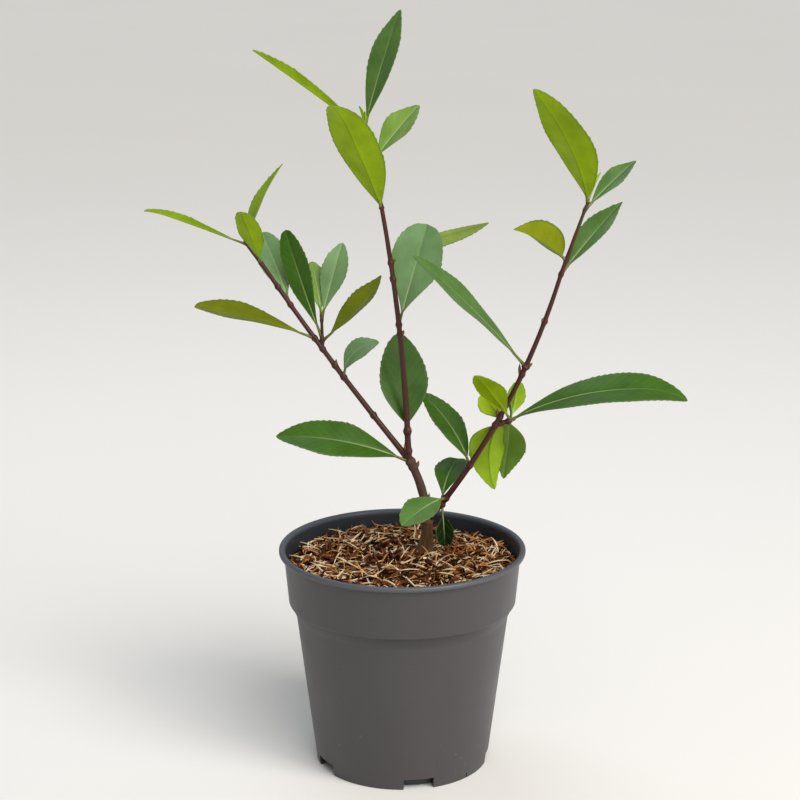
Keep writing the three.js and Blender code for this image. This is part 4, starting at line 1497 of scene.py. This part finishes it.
class SHRUB_OT_make_leaves(Operator):
    """Make the toothed leaves of every spray, each on its stalk, and the leaflets still unfolding."""
    bl_idname = "shrub.make_leaves"
    bl_label = "Leaves"

    def execute(self, context):
        sizes = context.scene.shrub_leaf
        curves = limb_curves()
        skins = leaf_materials(sizes)
        rng = np.random.default_rng(SEED)
        for name, (_, _, leaves) in SPRAYS.items():
            stalk = stalk_of(name, curves)
            rows = leaves + LEAFLETS.get(name, [])
            used = ["stalk"]  # the first slot, which the faces of a leaf stalk keep
            shape = bmesh.new()
            for i, row in enumerate(rows):
                sides = (row["tone"] + "_upper", row["tone"] + "_under")
                used += [side for side in sides if side not in used]
                curve = leaf_curve(row, stalk.point(row["at"]))
                cell = bake_cell(i, len(rows))
                join(shape, leaf_blade(row, curve, sizes, cell, rng, [used.index(side) for side in sides]))
                join(shape, leaf_petiole(row, curve, sizes, cell))
            piece = show(name + "_leaves", mesh_of(shape), [skins[key] for key in used], sharp=50)
            belong(piece, "leaf", name)
        return {"FINISHED"}


# Lamps as place, aim, size across, power in watts and colour
LAMPS = {
    "top_softbox": ((-0.25, 0.55, 1.35), (0, 0, 0.2), 0.8, 4, "#eaf4ff"),
    "side_softbox": ((0.95, -0.75, 0.9), (0, 0, 0.18), 0.6, 8, "#fff6ea"),
}
WINDOW_PLACE = (0.5, -0.9, 1.0)
WINDOW_COLOUR = "#fffdfa"
FLOOR_SIZE = 20


class SHRUB_OT_make_stage(Operator):
    """Make the pale floor, the soft lamps and the camera."""
    bl_idname = "shrub.make_stage"
    bl_label = "Stage"

    def hang(self, scene, name, kind, place, aim, colour):
        """Hangs a new lamp at a place, turned to its aim."""
        lamp = bpy.data.lights.new(name, kind)
        lamp.color = linear(colour)
        holder = bpy.data.objects.new(name, lamp)
        holder.location = place
        holder.rotation_euler = (Vector(aim) - Vector(place)).to_track_quat("-Z", "Y").to_euler()
        scene.collection.objects.link(holder)
        return lamp

    def execute(self, context):
        scene, stage = context.scene, context.scene.shrub_stage
        shape = bmesh.new()
        bmesh.ops.create_grid(shape, x_segments=4, y_segments=4, size=FLOOR_SIZE)
        floor = show("floor", mesh_of(shape), [seamless_paper(stage.floor)])
        for name, (place, aim, size, power, colour) in LAMPS.items():
            lamp = self.hang(scene, name, "AREA", place, aim, colour)
            lamp.size = size
            lamp.energy = power
        window = self.hang(scene, "wide_window", "SUN", WINDOW_PLACE, (0, 0, 0), WINDOW_COLOUR)
        window.angle = stage.window_angle
        window.energy = stage.window_strength
        world = bpy.data.worlds.new("surroundings")
        world.use_nodes = True
        world.node_tree.nodes.clear()
        glow = add_node(world.node_tree, "ShaderNodeBackground", {
            "Color": shaded(stage.sky, 1), "Strength": stage.sky_strength,
        })
        add_node(world.node_tree, "ShaderNodeOutputWorld", {"Surface": glow.outputs[0]})
        scene.world = world
        scene.view_settings.view_transform = "Standard"
        lens = bpy.data.cameras.new("camera")
        lens.lens = stage.lens
        camera = bpy.data.objects.new("camera", lens)
        camera.location = stage.camera_place
        camera.rotation_euler = (math.pi / 2 - stage.camera_pitch, 0, 0)
        scene.collection.objects.link(camera)
        scene.camera = camera
        return {"FINISHED"}


STEPS = (
    SHRUB_OT_make_pot, SHRUB_OT_make_mix, SHRUB_OT_make_limbs, SHRUB_OT_make_twigs, SHRUB_OT_make_leaves,
    SHRUB_OT_make_stage,
)
SETTINGS = {
    "shrub_pot": PotSettings, "shrub_mix": MixSettings, "shrub_bark": BarkSettings,
    "shrub_leaf": LeafSettings, "shrub_stage": StageSettings,
}


class SHRUB_PT_panel(Panel):
    """Lists the pieces of the potted shrub and their settings."""
    bl_label = "Potted shrub"
    bl_space_type = "VIEW_3D"
    bl_region_type = "UI"
    bl_category = "Shrub"

    def draw(self, context):
        for step in STEPS:
            self.layout.operator(step.bl_idname)
        for key, kind in SETTINGS.items():
            box = self.layout.box()
            for name in kind.__annotations__:
                box.prop(getattr(context.scene, key), name)


CLASSES = (*SETTINGS.values(), *STEPS, SHRUB_PT_panel)


def register():
    for kind in CLASSES:
        bpy.utils.register_class(kind)
    for key, kind in SETTINGS.items():
        setattr(bpy.types.Scene, key, PointerProperty(type=kind))


def unregister():
    for key in SETTINGS:
        delattr(bpy.types.Scene, key)
    for kind in reversed(CLASSES):
        bpy.utils.unregister_class(kind)


def main():
    register()
    bpy.ops.shrub.make_pot()
    bpy.ops.shrub.make_mix()
    bpy.ops.shrub.make_limbs()
    bpy.ops.shrub.make_twigs()
    bpy.ops.shrub.make_leaves()
    bpy.ops.shrub.make_stage()


if __name__ == "__main__":
    main()
